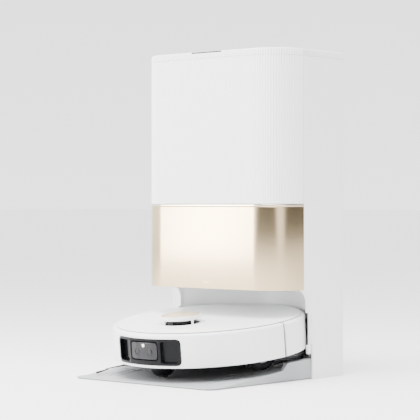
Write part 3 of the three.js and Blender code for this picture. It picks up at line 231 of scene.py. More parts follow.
def smoke_tank():
    # The same, tinted grey for used water.
    inputs = {"IOR": 1.57, "Transmission Weight": 0.7}
    return finish("Copolyester smoke", linear("#6F757A"), 0.12, 6.0, 0.00002, inputs, 0.04, 0.05)


def grip_tpe():
    # Thermoplastic rubber ribs, grey and matt.
    return finish("Rubber grip ribs grey", linear("#77797B"), 0.75, 0.5, 0.00002, {"IOR": 1.5}, 0.05, 0.1)


def ramp_abs():
    # The ramp's even light grey, matt from a fine spark-eroded grain.
    colour = linear("#9C9EA0")
    return finish("ABS spark-eroded pale grey", colour, 0.55, 0.7, 0.00002, {"IOR": 1.53}, 0.05, 0.02)


def bristle_nylon():
    # Extruded nylon, dark grey, each strand with its own sheen.
    return finish("Nylon bristle", linear("#34363A"), 0.5, 0.8, 0.00002, {"IOR": 1.53}, 0.1, 0.3)


def circuit_board():
    # Glass-fibre board under green solder mask, weave 0.6 mm.
    colour = linear("#1C5337")
    return finish("Circuit board solder mask", colour, 0.35, 0.6, 0.00001, {"IOR": 1.5}, 0.05, 0.2)


def battery_wrap():
    # PVC heat-shrink film, stretched smooth over the cells.
    return finish("PVC film blue", linear("#2C4764"), 0.3, 9.0, 0.0002, {"IOR": 1.54}, 0.05, 0.08)


def lamp_lens():
    # Opal acrylic over a lamp that is lit.
    inputs = {"Emission Color": linear("#FFF6DF"), "Emission Strength": 1.2}
    return finish("Acrylic opal", linear("#F4F1E6"), 0.3, 2.0, 0.000002, inputs, 0.03, 0.02)


def cloth(name, colour, thread_mm, fuzz):
    """A textile: crossing threads thread_mm apart, a soft sheen, and a fuzz of loops or fibres."""
    if name in bpy.data.materials:
        return bpy.data.materials[name]
    material = bpy.data.materials.new(name)
    material.use_nodes = True
    tree = material.node_tree
    shader = tree.nodes["Principled BSDF"]
    place = add(tree, "ShaderNodeTexCoord").outputs["Object"]
    pile = add(tree, "ShaderNodeTexVoronoi", None, {"Vector": place, "Scale": 1000 / thread_mm})
    fibre = add(tree, "ShaderNodeTexNoise", None, {"Vector": place, "Scale": 2500 / thread_mm, "Detail": 4.0})
    given = {0: fibre.outputs["Fac"], 1: fuzz, 2: pile.outputs["Distance"]}
    height = add(tree, "ShaderNodeMath", {"operation": "MULTIPLY_ADD"}, given)
    mix = add(tree, "ShaderNodeMix", {"data_type": "RGBA"}, {"Factor": pile.outputs["Distance"]})
    mix.inputs[6].default_value = colour
    mix.inputs[7].default_value = [c * 0.62 for c in colour[:3]] + [1.0]
    given = {"Height": height.outputs["Value"], "Distance": 0.0006, "Strength": 1.0}
    bump = add(tree, "ShaderNodeBump", None, given)
    tree.links.new(mix.outputs[2], shader.inputs["Base Color"])
    tree.links.new(bump.outputs["Normal"], shader.inputs["Normal"])
    shader.inputs["Roughness"].default_value = 0.9
    shader.inputs["Sheen Weight"].default_value = 0.4
    shader.inputs["Sheen Roughness"].default_value = 0.5
    return material


def microfibre():
    # Looped polyester microfibre, loops drawn 1.6 mm apart so that they show.
    return cloth("Microfibre looped grey", linear("#8B8F94"), 1.6, 0.8)


def fleece():
    # Melt-blown non-woven fleece, fibres drawn 1.1 mm apart.
    return cloth("Fleece non-woven", linear("#E6E1D6"), 1.1, 1.4)


# ---------------------------------------------------------------- meshes


def smooth(mesh, angle=32):
    for polygon in mesh.polygons:
        polygon.use_smooth = True
    mesh.set_sharp_from_angle(angle=math.radians(angle))


def make(name, points, faces, material, matrix=DOCK, angle=32):
    """A closed piece from points in millimetres: doubles merged, faces outwards, smooth between its edges."""
    mesh = bpy.data.meshes.new(name)
    mesh.from_pydata([matrix @ Vector(p) for p in points], [], faces)
    work = bmesh.new()
    work.from_mesh(mesh)
    bmesh.ops.remove_doubles(work, verts=work.verts, dist=2e-6)
    bmesh.ops.recalc_face_normals(work, faces=work.faces)
    work.to_mesh(mesh)
    work.free()
    mesh.materials.append(material)
    smooth(mesh, angle)
    piece = bpy.data.objects.new(name, mesh)
    bpy.context.scene.collection.objects.link(piece)
    return piece


def loft(name, rings, material, matrix=DOCK, loop=False, angle=32):
    """Joins equal rings of points, one to the next. An open row gets an end cap each side."""
    size = len(rings[0])
    points = [p for ring in rings for p in ring]
    faces = []
    for i in range(len(rings) if loop else len(rings) - 1):
        a, b = i * size, (i + 1) % len(rings) * size
        faces += [(a + k, a + (k + 1) % size, b + (k + 1) % size, b + k) for k in range(size)]
    if not loop:
        faces += [tuple(range(size)), tuple(range(len(points) - size, len(points)))]
    return make(name, points, faces, material, matrix, angle)


def soften(corners, steps=4):
    """A closed outline whose corners (a, b, reach) are rounded, starting reach away from each corner."""
    outline = []
    for i, (a, b, reach) in enumerate(corners):
        here = Vector((a, b))
        if not reach:
            outline.append((a, b))
            continue
        before = Vector(corners[i - 1][:2])
        after = Vector(corners[(i + 1) % len(corners)][:2])
        start = here + (before - here).normalized() * reach
        end = here + (after - here).normalized() * reach
        for k in range(steps + 1):
            t = k / steps
            p = start * (1 - t) ** 2 + here * 2 * t * (1 - t) + end * t**2
            outline.append((p.x, p.y))
    return outline


def spin(name, profile, material, matrix=DOCK, centre=(0, 0), steps=96, start=0, sweep=360, angle=32):
    """Turns a closed (radius, height) profile about an upright axis, all the way or through sweep degrees."""
    full = sweep >= 360
    rings = []
    for i in range(steps if full else steps + 1):
        turn = math.radians(start + sweep * i / steps)
        x, y = math.cos(turn), math.sin(turn)
        rings.append([(centre[0] + r * x, centre[1] + r * y, z) for r, z in profile])
    return loft(name, rings, material, matrix, full, angle)


def lying(matrix, x, y, z):
    """A frame whose upright axis lies along +X at (x, y, z)."""
    return matrix @ Matrix.Translation((x, y, z)) @ Matrix.Rotation(math.pi / 2, 4, "Y")


def slab(name, outline, low, high, material, matrix=DOCK, edge=0.0):
    """A flat outline raised from low to high, with its top and bottom edges rounded by edge."""
    middle = Vector((sum(p[0] for p in outline), sum(p[1] for p in outline))) / len(outline)
    levels = [(edge, low), (edge * 0.3, low + edge * 0.3), (0, low + edge), (0, high - edge)]
    levels += [(edge * 0.3, high - edge * 0.3), (edge, high)]
    rings = []
    for inset, z in levels if edge else [(0, low), (0, high)]:
        ring = []
        for p in outline:
            away = Vector(p) - middle
            q = Vector(p) - away.normalized() * inset
            ring.append((q.x, q.y, z))
        rings.append(ring)
    return loft(name, rings, material, matrix)


def oblong(x0, x1, y0, y1, radius=0, steps=4):
    """A rectangle's outline with round corners."""
    return soften([(x0, y0, radius), (x1, y0, radius), (x1, y1, radius), (x0, y1, radius)], steps)


def rounded_box(half_x, y0, y1, radius):
    """A rectangle's outline, centred on x = 0, with finely rounded corners."""
    return oblong(-half_x, half_x, y0, y1, radius, 6)


def bake(piece):
    """Applies a piece's modifiers to its mesh."""
    depsgraph = bpy.context.evaluated_depsgraph_get()
    mesh = bpy.data.meshes.new_from_object(piece.evaluated_get(depsgraph), depsgraph=depsgraph)
    piece.modifiers.clear()
    piece.data = mesh
    return piece


def remove(*pieces):
    for piece in pieces:
        bpy.data.objects.remove(piece, do_unlink=True)


def cut(piece, *cutters, angle=32):
    """Cuts pieces out of a piece."""
    for cutter in cutters:
        change = piece.modifiers.new("cut", "BOOLEAN")
        change.object = cutter
        change.solver = "EXACT"
        bake(piece)
        remove(cutter)
    smooth(piece.data, angle)
    return piece


def refined(node, material, edge_mm=0.5, segments=2):
    """A copy of a CAD node with its triangles merged into clean faces and its edges broken by edge_mm."""
    source = FRAME["nodes"][node]
    mesh = source.data.copy()
    work = bmesh.new()
    work.from_mesh(mesh)
    bmesh.ops.remove_doubles(work, verts=work.verts, dist=2e-6)
    flat = math.radians(0.6)
    bmesh.ops.dissolve_limit(work, angle_limit=flat, verts=work.verts, edges=work.edges, delimit={"NORMAL"})
    work.to_mesh(mesh)
    work.free()
    mesh.materials.clear()
    mesh.materials.append(material)
    smooth(mesh)
    piece = bpy.data.objects.new(node + "_finished", mesh)
    bpy.context.scene.collection.objects.link(piece)
    if edge_mm:
        bevel = piece.modifiers.new("broken edges", "BEVEL")
        bevel.width = edge_mm * MM
        bevel.segments = segments
        bevel.limit_method = "ANGLE"
        bevel.angle_limit = math.radians(32)
        bevel.harden_normals = True
        bevel.use_clamp_overlap = True
        bake(piece)
    return piece


def settle(piece, body, slot, *nodes):
    """Rides a finished piece on its body and hides the CAD nodes that it stands for."""
    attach(piece, body)
    if nodes:
        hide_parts(*nodes)
    return piece


def finish_nodes(body, rows):
    """Refines CAD nodes: each row is (node, material, record slot, edge in millimetres); the record slot is
    not used.
    """
    for node, material, slot, edge in rows:
        settle(refined(node, material, edge), body, slot, node)


# ---------------------------------------------------------------- geometry node trees


def new_tree(name, sizes):
    """An empty tree with a geometry input and output and one float input for each size."""
    tree = bpy.data.node_groups.new(name, "GeometryNodeTree")
    tree.interface.new_socket("Geometry", in_out="INPUT", socket_type="NodeSocketGeometry")
    for label, kind in sizes:
        tree.interface.new_socket(label, in_out="INPUT", socket_type=kind)
    tree.interface.new_socket("Geometry", in_out="OUTPUT", socket_type="NodeSocketGeometry")
    return tree, add(tree, "NodeGroupInput").outputs


def end_tree(tree, geometry):
    """Realizes instances, sets the material and joins the output."""
    real = add(tree, "GeometryNodeRealizeInstances", None, {"Geometry": geometry})
    painted = add(tree, "GeometryNodeSetMaterial", None, {"Geometry": real.outputs[0]})
    tree.links.new(tree.nodes["Group Input"].outputs["Material"], painted.inputs["Material"])
    add(tree, "NodeGroupOutput", None, {"Geometry": painted.outputs[0]})
    return tree


def copies(tree, given, points, turned):
    """The given piece on every point."""
    piece = add(tree, "GeometryNodeObjectInfo", None, {"Object": given["Piece"]}).outputs["Geometry"]
    placed = {"Points": points.outputs[0], "Instance": piece, **turned}
    return add(tree, "GeometryNodeInstanceOnPoints", None, placed).outputs[0]


def ring_tree():
    """Copies of a piece round a circle, each turned to face outwards."""
    sizes = [("Piece", "NodeSocketObject"), ("Count", "NodeSocketInt"), ("Radius", "NodeSocketFloat")]
    tree, given = new_tree("pieces_round_a_circle", sizes + [("Material", "NodeSocketMaterial")])
    round_line = {"Vertices": given["Count"], "Radius": given["Radius"]}
    circle = add(tree, "GeometryNodeMeshCircle", None, round_line)
    index = add(tree, "GeometryNodeInputIndex").outputs[0]
    step = add(tree, "ShaderNodeMath", {"operation": "DIVIDE"}, {0: 2 * math.pi, 1: given["Count"]})
    turn = add(tree, "ShaderNodeMath", {"operation": "MULTIPLY"}, {0: index, 1: step.outputs[0]})
    spun = add(tree, "ShaderNodeCombineXYZ", None, {"Z": turn.outputs[0]})
    return end_tree(tree, copies(tree, given, circle, {"Rotation": spun.outputs[0]}))


def grid_tree():
    """Copies of a piece on a flat grid, centred on the origin."""
    names = [("Columns", "NodeSocketInt"), ("Rows", "NodeSocketInt"), ("Width", "NodeSocketFloat")]
    sizes = [("Piece", "NodeSocketObject")] + names + [("Depth", "NodeSocketFloat")]
    tree, given = new_tree("pieces_on_a_grid", sizes + [("Material", "NodeSocketMaterial")])
    spacing = {"Size X": given["Width"], "Size Y": given["Depth"]}
    spacing |= {"Vertices X": given["Columns"], "Vertices Y": given["Rows"]}
    return end_tree(tree, copies(tree, given, add(tree, "GeometryNodeMeshGrid", None, spacing), {}))


def tuft_tree():
    """Copies of a strand along a short line, each leaning a little its own way."""
    sizes = [("Piece", "NodeSocketObject"), ("Count", "NodeSocketInt"), ("Length", "NodeSocketFloat")]
    sizes += [("Lean", "NodeSocketFloat"), ("Seed", "NodeSocketInt"), ("Material", "NodeSocketMaterial")]
    tree, given = new_tree("strands_in_a_tuft", sizes)
    last = add(tree, "ShaderNodeCombineXYZ", None, {"X": given["Length"]})
    reach = {"Count": given["Count"], "Start Location": (0, 0, 0), "Offset": last.outputs[0]}
    line = add(tree, "GeometryNodeMeshLine", {"mode": "END_POINTS"}, reach)
    down = add(tree, "ShaderNodeMath", {"operation": "MULTIPLY"}, {0: given["Lean"], 1: -1.0})
    low = add(tree, "ShaderNodeCombineXYZ", None, {"X": down.outputs[0], "Y": down.outputs[0]})
    high = add(tree, "ShaderNodeCombineXYZ", None, {"X": given["Lean"], "Y": given["Lean"]})
    limits = {0: low.outputs[0], 1: high.outputs[0], "Seed": given["Seed"]}
    lean = add(tree, "FunctionNodeRandomValue", {"data_type": "FLOAT_VECTOR"}, limits)
    return end_tree(tree, copies(tree, given, line, {"Rotation": lean.outputs[0]}))


def flute_tree():
    """A wall along the base line, raised to Height, with Count round ribs between sharp grooves of Depth."""
    sizes = [("Count", "NodeSocketInt"), ("Steps", "NodeSocketInt"), ("Depth", "NodeSocketFloat")]
    sizes += [("Height", "NodeSocketFloat"), ("Material", "NodeSocketMaterial")]
    tree, given = new_tree("fluted_wall", sizes)
    parts = {0: given["Count"], 1: given["Steps"], 2: 1.0}
    total = add(tree, "ShaderNodeMath", {"operation": "MULTIPLY_ADD"}, parts)
    line = add(tree, "GeometryNodeMeshToCurve", None, {"Mesh": given["Geometry"]})
    parts = {"Curve": line.outputs[0], "Count": total.outputs[0]}
    points = add(tree, "GeometryNodeResampleCurve", {"mode": "COUNT"}, parts)
    along = add(tree, "GeometryNodeSplineParameter").outputs["Factor"]
    tangent = add(tree, "GeometryNodeInputTangent").outputs[0]
    inward = add(tree, "ShaderNodeVectorMath", {"operation": "CROSS_PRODUCT"}, {0: tangent, 1: (0, 0, 1)})
    phase = add(tree, "ShaderNodeMath", {"operation": "MULTIPLY"}, {0: along, 1: given["Count"]})
    turn = add(tree, "ShaderNodeMath", {"operation": "MULTIPLY"}, {0: phase.outputs[0], 1: math.pi})
    wave = add(tree, "ShaderNodeMath", {"operation": "SINE"}, {0: turn.outputs[0]})
    rib = add(tree, "ShaderNodeMath", {"operation": "ABSOLUTE"}, {0: wave.outputs[0]})
    groove = add(tree, "ShaderNodeMath", {"operation": "SUBTRACT"}, {0: 1.0, 1: rib.outputs[0]})
    sunk = add(tree, "ShaderNodeMath", {"operation": "MULTIPLY"}, {0: groove.outputs[0], 1: given["Depth"]})
    scaled = {0: inward.outputs[0], "Scale": sunk.outputs[0]}
    offset = add(tree, "ShaderNodeVectorMath", {"operation": "SCALE"}, scaled)
    moved = {"Geometry": points.outputs[0], "Offset": offset.outputs[0]}
    shaped = add(tree, "GeometryNodeSetPosition", None, moved)
    edge = add(tree, "GeometryNodeCurveToMesh", None, {"Curve": shaped.outputs[0]})
    up = add(tree, "ShaderNodeCombineXYZ", None, {"Z": given["Height"]})
    raised = {"Mesh": edge.outputs[0], "Offset": up.outputs[0], "Offset Scale": 1.0}
    wall = add(tree, "GeometryNodeExtrudeMesh", {"mode": "EDGES"}, raised)
    return end_tree(tree, wall.outputs[0])


def grown(name, tree, values, seed_points=((0, 0, 0),), edges=()):
    """Runs a tree on a small base mesh and keeps the result as a plain mesh."""
    base = bpy.data.meshes.new(name)
    base.from_pydata(list(seed_points), list(edges), [])
    piece = bpy.data.objects.new(name, base)
    bpy.context.scene.collection.objects.link(piece)
    change = piece.modifiers.new(tree.name, "NODES")
    change.node_group = tree
    sockets = {s.name: s.identifier for s in tree.interface.items_tree if s.in_out == "INPUT"}
    for label, value in values.items():
        change[sockets[label]] = value
    return bake(piece)


# ---------------------------------------------------------------- the tower's outline


def sizes():
    return bpy.context.scene.vacuum_sizes


def tower():
    """The tower's plan in millimetres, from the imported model."""
    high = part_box("dock_housing")[1]
    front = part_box("fluted_panel")[0].y / MM
    return {
        "half": high.x / MM,
        "back": high.y / MM,
        "front": front,
        "wrap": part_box("fluted_panel")[1].y / MM,
        "corner": sizes().front_corner / MM,
        "rear": sizes().rear_corner / MM,
    }


def front_length(t):
    straight = t["wrap"] - t["front"] - t["corner"]
    return 2 * straight + math.pi * t["corner"] + 2 * (t["half"] - t["corner"])


def front_point(t, distance, inset=0.0):
    """A point of the covers' front line, from the right wrap end round the front to the left one."""
    straight = t["wrap"] - t["front"] - t["corner"]
    quarter = math.pi / 2 * t["corner"]
    length = front_length(t)
    side, s = (-1, length - distance) if distance > length / 2 else (1, distance)
    if s <= straight:
        return side * (t["half"] - inset), t["wrap"] - s
    if s <= straight + quarter:
        turn = (s - straight) / t["corner"]
        reach = t["corner"] - inset
        return (
            side * (t["half"] - t["corner"] + reach * math.cos(turn)),
            t["front"] + t["corner"] - reach * math.sin(turn),
        )
    return side * (length / 2 - s), t["front"] + inset


def front_stops(t, corner_steps=28):
    straight = t["wrap"] - t["front"] - t["corner"]
    quarter = math.pi / 2 * t["corner"]
    near = [0.0] + [straight + quarter * i / corner_steps for i in range(corner_steps + 1)]
    return near + [front_length(t) - s for s in reversed(near)]


def wrapped(name, profile, material):
    """A cover that follows the tower's front line; its profile is a closed list of (inset, height)."""
    t = tower()
    rings = [[(*front_point(t, s, inset), z) for inset, z in profile] for s in front_stops(t)]
    return loft(name, rings, material)


def tower_ring(t, inset, z, depth=0.0):
    """The whole outline at one height, with the flutes of the front line sunk by depth."""
    count = sizes().flute_count
    length = front_length(t)
    total = count * 8
    ring = []
    for i in range(total + 1):
        s = length * i / total
        sunk = depth * (1 - abs(math.sin(math.pi * count * s / length)))
        ring.append((*front_point(t, s, inset + sunk), z))
    for side, first in ((-1, True), (1, False)):
        for i in range(9):
            turn = math.pi / 2 * (i if first else 8 - i) / 8
            reach = t["rear"] - inset
            x = side * (t["half"] - t["rear"] + reach * math.cos(turn))
            ring.append((x, t["back"] - t["rear"] + reach * math.sin(turn), z))
    return ring


# ---------------------------------------------------------------- settings


class VacuumSizes(bpy.types.PropertyGroup):
    """Sizes of the surfaces that the solids leave open."""

    front_corner: FloatProperty(
        name="Front corner", description="Plan radius of the tower's front corners",
        default=0.060, subtype="DISTANCE",
    )
    rear_corner: FloatProperty(
        name="Rear corner", description="Plan radius of the tower's rear corners",
        default=0.025, subtype="DISTANCE",
    )
    flute_count: IntProperty(name="Flutes", description="Ribs round the front of the upper panel", default=88)
    flute_depth: FloatProperty(
        name="Flute depth", description="Depth of the groove between two ribs",
        default=0.0012, subtype="DISTANCE",
    )
    robot_radius: FloatProperty(
        name="Robot radius", description="Outer radius of the robot's shell",
        default=0.175, subtype="DISTANCE",
    )
    tread_length: FloatProperty(
        name="Tread length", description="Length of one grip rib on the ramp",
        default=0.0075, subtype="DISTANCE",
    )
    tread_count: IntProperty(name="Treads", description="Grip ribs in one row of a wheel track", default=17)
    lug_count: IntProperty(name="Tyre lugs", description="Lugs round each drive tyre", default=28)
    bristle_count: IntProperty(name="Bristles", description="Strands in each side brush tuft", default=46)


class VacuumFinishes(bpy.types.PropertyGroup):
    """Colours that an owner would choose."""

    body: FloatVectorProperty(
        name="Body", description="White of the shells",
        size=4, subtype="COLOR", default=linear("#F0F1F1"),
    )
    door: FloatVectorProperty(
        name="Door", description="Lacquer of the lower cover",
        size=4, subtype="COLOR", default=linear("#C9B38F"),
    )
    floor: FloatVectorProperty(
        name="Floor", description="Studio floor",
        size=4, subtype="COLOR", default=linear("#F2F2F2"),
    )


class Piece:
    """What every operator here shares."""

    bl_options = {"REGISTER", "UNDO"}


# ---------------------------------------------------------------- dock operators


class VACUUM_OT_flutes(Piece, bpy.types.Operator):
    """Fluted upper panel of the tower"""

    bl_idname = "vacuum.flutes"
    bl_label = "Fluted panel"

    def execute(self, context):
        t = tower()
        low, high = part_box("fluted_panel")
        line = [(*[c * MM for c in front_point(t, s)], low.z) for s in front_stops(t, 60)]
        edges = [(i, i + 1) for i in range(len(line) - 1)]
        values = {"Count": sizes().flute_count, "Steps": 8, "Depth": sizes().flute_depth}
        values |= {"Height": high.z - low.z, "Material": white_abs()}
        panel = grown("fluted_front", flute_tree(), values, line, edges)
        wall = panel.modifiers.new("wall", "SOLIDIFY")
        wall.thickness = 0.0028
        wall.offset = -1
        bake(panel)
        smooth(panel.data, 50)
        settle(panel, "dock", "white_plastic", "fluted_panel")
        return {"FINISHED"}


class VACUUM_OT_lid(Piece, bpy.types.Operator):
    """Hinged lid over the water tanks"""

    bl_idname = "vacuum.lid"
    bl_label = "Lid"

    def execute(self, context):
        t = tower()
        low, high = (v.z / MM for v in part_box("top_lid"))
        depth = sizes().flute_depth / MM
        edge = 2.2
        rings = [tower_ring(t, 3, high - 3), tower_ring(t, 3, low), tower_ring(t, 0.3, low, depth)]
        rings.append(tower_ring(t, 0, low + 0.3, depth))
        for i in range(6):
            turn = math.pi / 2 * i / 5
            fade = depth * (1 - i / 5)
            rings.append(tower_ring(t, edge * (1 - math.cos(turn)), high - edge * (1 - math.sin(turn)), fade))
        lid = loft("lid_shell", rings, white_abs(), DOCK, False, 40)
        front, back = t["front"], t["back"]
        outline = rounded_box(36, front - 3, front + 2.4, 0.4)
        grip = slab("grip_cut", outline, high - 2.6, high + 2, white_abs())
        # Notches for the housing's two hinge ears.
        notches = []
        for x in (-56, 56):
            outline = oblong(x - 5, x + 5, back - 13, back + 1)
            notches.append(slab("notch_cut", outline, low - 1, high - 1.5, white_abs()))
        cut(lid, grip, *notches, angle=40)
        settle(lid, "lid", "white_plastic")
        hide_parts("top_lid")
        # A black sheet at the back of the finger grip: painted shade, darker than the shallow recess would
        # shade on its own.
        outline = rounded_box(35.6, front + 1.7, front + 2.35, 0.2)
        grip_shade = slab("lid_grip_inlay", outline, high - 2.55, high - 0.3, black_abs())
        settle(grip_shade, "lid", "black_plastic")
        # Hinge bosses under the rear edge.
        for name, side in SIDES:
            x = side * 46
            outline = oblong(x - 4, x + 4, back - 8.4, back - 3.2, 1)
            boss = slab("lid_boss_" + name, outline, low + 1.2, high - 2.8, white_abs())
            settle(boss, "lid", "white_plastic")
        settle(refined("lid_hinge_rod", steel(), 0.3), "dock", "steel", "lid_hinge_rod")
        return {"FINISHED"}


class VACUUM_OT_door(Piece, bpy.types.Operator):
    """Champagne lower cover and the bright strip above it"""

    bl_idname = "vacuum.door"
    bl_label = "Lower cover"

    def execute(self, context):
        t = tower()
        low, high = (v.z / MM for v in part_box("lower_door"))
        profile = soften([(0, low, 1.0), (0, high, 0.8), (3, high, 0.5), (3, low, 0.5)], 3)
        door = wrapped("lower_cover", profile, champagne_lacquer())
        settle(door, "door", "champagne", "lower_door")
        # Small chevron pressed into the cover below its middle.
        bar = []
        for side in (-1, 1):
            outline = [(0, low + 9), (side * 7, low + 13.4), (side * 7, low + 14.8), (0, low + 10.4)]
            bar.append([(x, t["front"] - 0.02, z) for x, z in outline])
        for index, ring in enumerate(bar):
            back = [(x, y + 0.8, z) for x, y, z in ring]
            mark = loft("door_chevron_" + "ab"[index], [ring, back], champagne_spun())
            settle(mark, "door", "champagne")
        low, high = (v.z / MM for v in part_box("door_trim_strip"))
        front = [(0.6, low, 0.8), (0, (low + high) / 2, 1.2), (0.6, high, 0.8)]
        profile = soften(front + [(3, high, 0.4), (3, low, 0.4)])
        strip = wrapped("bright_strip", profile, champagne_bright())
        settle(strip, "door", "champagne", "door_trim_strip")
        return {"FINISHED"}


class VACUUM_OT_housing(Piece, bpy.types.Operator):
    """Outer housing, bay liner, tray and the plates inside the tower"""

    bl_idname = "vacuum.housing"
    bl_label = "Housing and tray"

    def execute(self, context):
        finish_nodes(
            "dock",
            [
                ("dock_housing", white_abs(), "white_plastic", 0.8),
                ("recess_liner", white_abs(), "white_plastic", 0.6),
                ("base_tray", ramp_abs(), "tray_plastic", 0.8),
                ("dock_frame", tray_abs(), "tray_plastic", 0.5),
                ("ramp_plate", ramp_abs(), "grey_plastic", 0.3),
                ("washboard", grey_abs(), "grey_plastic", 0.5),
                ("foot_frame", rubber(), "rubber", 0.2),
                ("power_inlet", black_abs(), "black_plastic", 0.4),
            ],
        )
        return {"FINISHED"}


class VACUUM_OT_machinery(Piece, bpy.types.Operator):
    """Tanks, cartridge, fan, pump, riser and board inside the tower"""

    bl_idname = "vacuum.machinery"
    bl_label = "Machinery"

    def execute(self, context):
        finish_nodes(
            "dock",
            [
                ("clean_water_tank", clear_tank(), "clear_tank", 0.8),
                ("dirty_water_tank", smoke_tank(), "smoke_tank", 0.8),
                ("clean_tank_cap", white_abs(), "white_plastic", 0.8),
                ("dirty_tank_cap", grey_abs(), "white_plastic", 0.8),
                ("dust_bag_collar", fleece(), "bag_paper", 0.3),
                ("suction_fan", black_abs(), "black_plastic", 0.8),
                ("suction_duct", black_abs(), "black_plastic", 0.4),
                ("detergent_cartridge", grey_abs(), "grey_plastic", 1.2),
                ("wash_pump", black_abs(), "black_plastic", 0.8),
                ("dock_control_board", circuit_board(), "circuit_board", 0.2),
            ],
        )
        return {"FINISHED"}


class VACUUM_OT_contacts(Piece, bpy.types.Operator):
    """Charging contacts and guide rollers of the parking bay"""

    bl_idname = "vacuum.contacts"
    bl_label = "Contacts and rollers"

    def execute(self, context):
        for side in ("left", "right"):
            contact = refined("charge_contact_" + side, nickel(), 1.4, 4)
            settle(contact, "contact_" + side, "nickel", "charge_contact_" + side)
            low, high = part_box("guide_roller_" + side)
            middle = (low + high) / 2 / MM
            reach = (high.x - low.x) / 2 / MM
            z0, z1 = low.z / MM, high.z / MM
            profile = soften([(1.6, z0, 0.3), (reach, z0, 1.6), (reach, z1, 1.6), (1.6, z1, 0.3)])
            roller = spin("roller_sleeve_" + side, profile, tray_abs(), DOCK, (middle.x, middle.y), 32)
            settle(roller, "roller_" + side, "rubber", "guide_roller_" + side)
        return {"FINISHED"}


class VACUUM_OT_treads(Piece, bpy.types.Operator):
    """Grip ribs in the wheel tracks of the ramp"""

    bl_idname = "vacuum.treads"
    bl_label = "Ramp treads"

    def execute(self, context):
        half = sizes().tread_length / 2 / MM
        rib = slab("tread_seed", rounded_box(half, -1.1, 1.1, 0.9), -0.1, 0.7, grip_tpe(), DOCK, 0.3)
        tree = grid_tree()
        for name, side in SIDES:
            values = {"Piece": rib, "Columns": 2, "Rows": sizes().tread_count, "Width": 0.0165}
            values |= {"Depth": 0.116, "Material": grip_tpe()}
            treads = grown("ramp_treads_" + name, tree, values)
            # The two tracks close in a little towards the bay.
            turn = Matrix.Rotation(side * math.radians(-5), 4, "Z")
            treads.data.transform(ROBOT @ Matrix.Translation((side * 113, -88, -0.75)) @ turn @ METRES)
            smooth(treads.data)
            settle(treads, "dock", "rubber")
        remove(rib)
        return {"FINISHED"}


# ---------------------------------------------------------------- robot operators


def eye_cutter(material, grow=0.0):
    """The rounded opening of the sensor surround, as a solid through the robot's front."""
    outline = rounded_box(73 + grow, 31 - grow, 77 + grow, 9)
    rings = [[(x, y, z) for x, z in outline] for y in (-200, -120)]
    return loft("eye_cut", rings, material, ROBOT)


class VACUUM_OT_shells(Piece, bpy.types.Operator):
    """Bumper, side shell and rear vent band of the robot; the black band is a vent panel and also painted
    shade for the gap at the bay wall
    """

    bl_idname = "vacuum.shells"
    bl_label = "Robot shells"

    def execute(self, context):
        r = sizes().robot_radius / MM
        lip = [(r, SHELL_TOP, 6), (LIP_RADIUS, SHELL_TOP, 0.8), (LIP_RADIUS, SHELL_TOP - 3, 0.8)]
        lip.append((INNER_RADIUS, SHELL_TOP - 3, 3))
        skin = soften([(r, SKIRT, 1.4), *lip, (INNER_RADIUS, SKIRT, 0.8)], 7)
        gap = math.degrees(1 / r)
        bumper = spin("bumper_shell", skin, white_abs(), ROBOT, (0, 0), 220, 180 + gap, 180 - 2 * gap)
        cut(bumper, eye_cutter(white_abs(), 0.3))
        settle(bumper, "bumper", "white_plastic", "front_bumper")
        lag = math.degrees(5 / r)
        # Past vent degrees the white sides give way to the black rear band: a vent panel, and also painted
        # shade for the dark gap beside the bay wall.
        vent = 38
        for name, side in SIDES:
            first = lag if side > 0 else 180 - vent
            shell = spin("side_shell_" + name, skin, white_abs(), ROBOT, (0, 0), 56, first, vent - lag)
            settle(shell, "robot", "white_plastic")
        over = soften([(r, SHOULDER, 0.6), *lip, (INNER_RADIUS, SHOULDER, 0.6)], 7)
        bridge = spin("side_shell_rear", over, white_abs(), ROBOT, (0, 0), 128, vent, 180 - 2 * vent)
        settle(bridge, "robot", "white_plastic", "robot_side_shell")
        # Black rear vent band: partly a real vent panel, partly painted shade, its edge drawing the shadow in
        # the gap between the robot and the bay wall.
        settle(refined("rear_vent_band", black_abs(), 0.6), "robot", "black_plastic", "rear_vent_band")
        return {"FINISHED"}


class VACUUM_OT_cover(Piece, bpy.types.Operator):
    """Lift-off top cover with its two keys"""

    bl_idname = "vacuum.cover"
    bl_label = "Top cover and keys"

    def execute(self, context):
        under = [(0, 86, 0), (160, 86, 0.2), (161, 86.7, 0.2), (COVER_RADIUS, 86.7, 0.3)]
        profile = soften(under + [(COVER_RADIUS, 88.7, 1.6), (83, 89.3, 20), (0, 89.8, 0)], 6)
        cover = spin("cover_disc", profile, white_abs(), ROBOT, (0, 0), 220, 0, 360, 25)
        hole = spin("turret_cut", [(0, 80), (43, 80), (43, 99), (0, 99)], white_abs(), ROBOT, TURRET)
        cutters = [hole]
        for x in (-12, 12):
            cutters.append(slab("key_cut", self.pill(x, 5.5), 80, 99, white_abs(), ROBOT))
        cut(cover, *cutters, angle=25)
        settle(cover, "cover", "white_plastic", "top_cover")
        lip = oblong(162, 166.5, 85.9, 86.6, 0.2, 2)
        settle(spin("cover_seal", lip, rubber(), ROBOT, (0, 0), 180), "cover", "rubber")
        for node, x, body in (("power_key", -12, "power_button"), ("home_key", 12, "home_button")):
            key = slab(node + "_cap", self.pill(x, 5), 83, 89.3, white_abs(), ROBOT, 0.5)
            settle(key, body, "white_plastic", node)
        return {"FINISHED"}

    def pill(self, x, radius):
        outline = []
        for side in (1, -1):
            for i in range(13):
                turn = math.radians(-90 + 15 * i) if side > 0 else math.radians(90 + 15 * i)
                outline.append((x + side * 4 + radius * math.cos(turn), KEY_Y + radius * math.sin(turn)))
        return outline


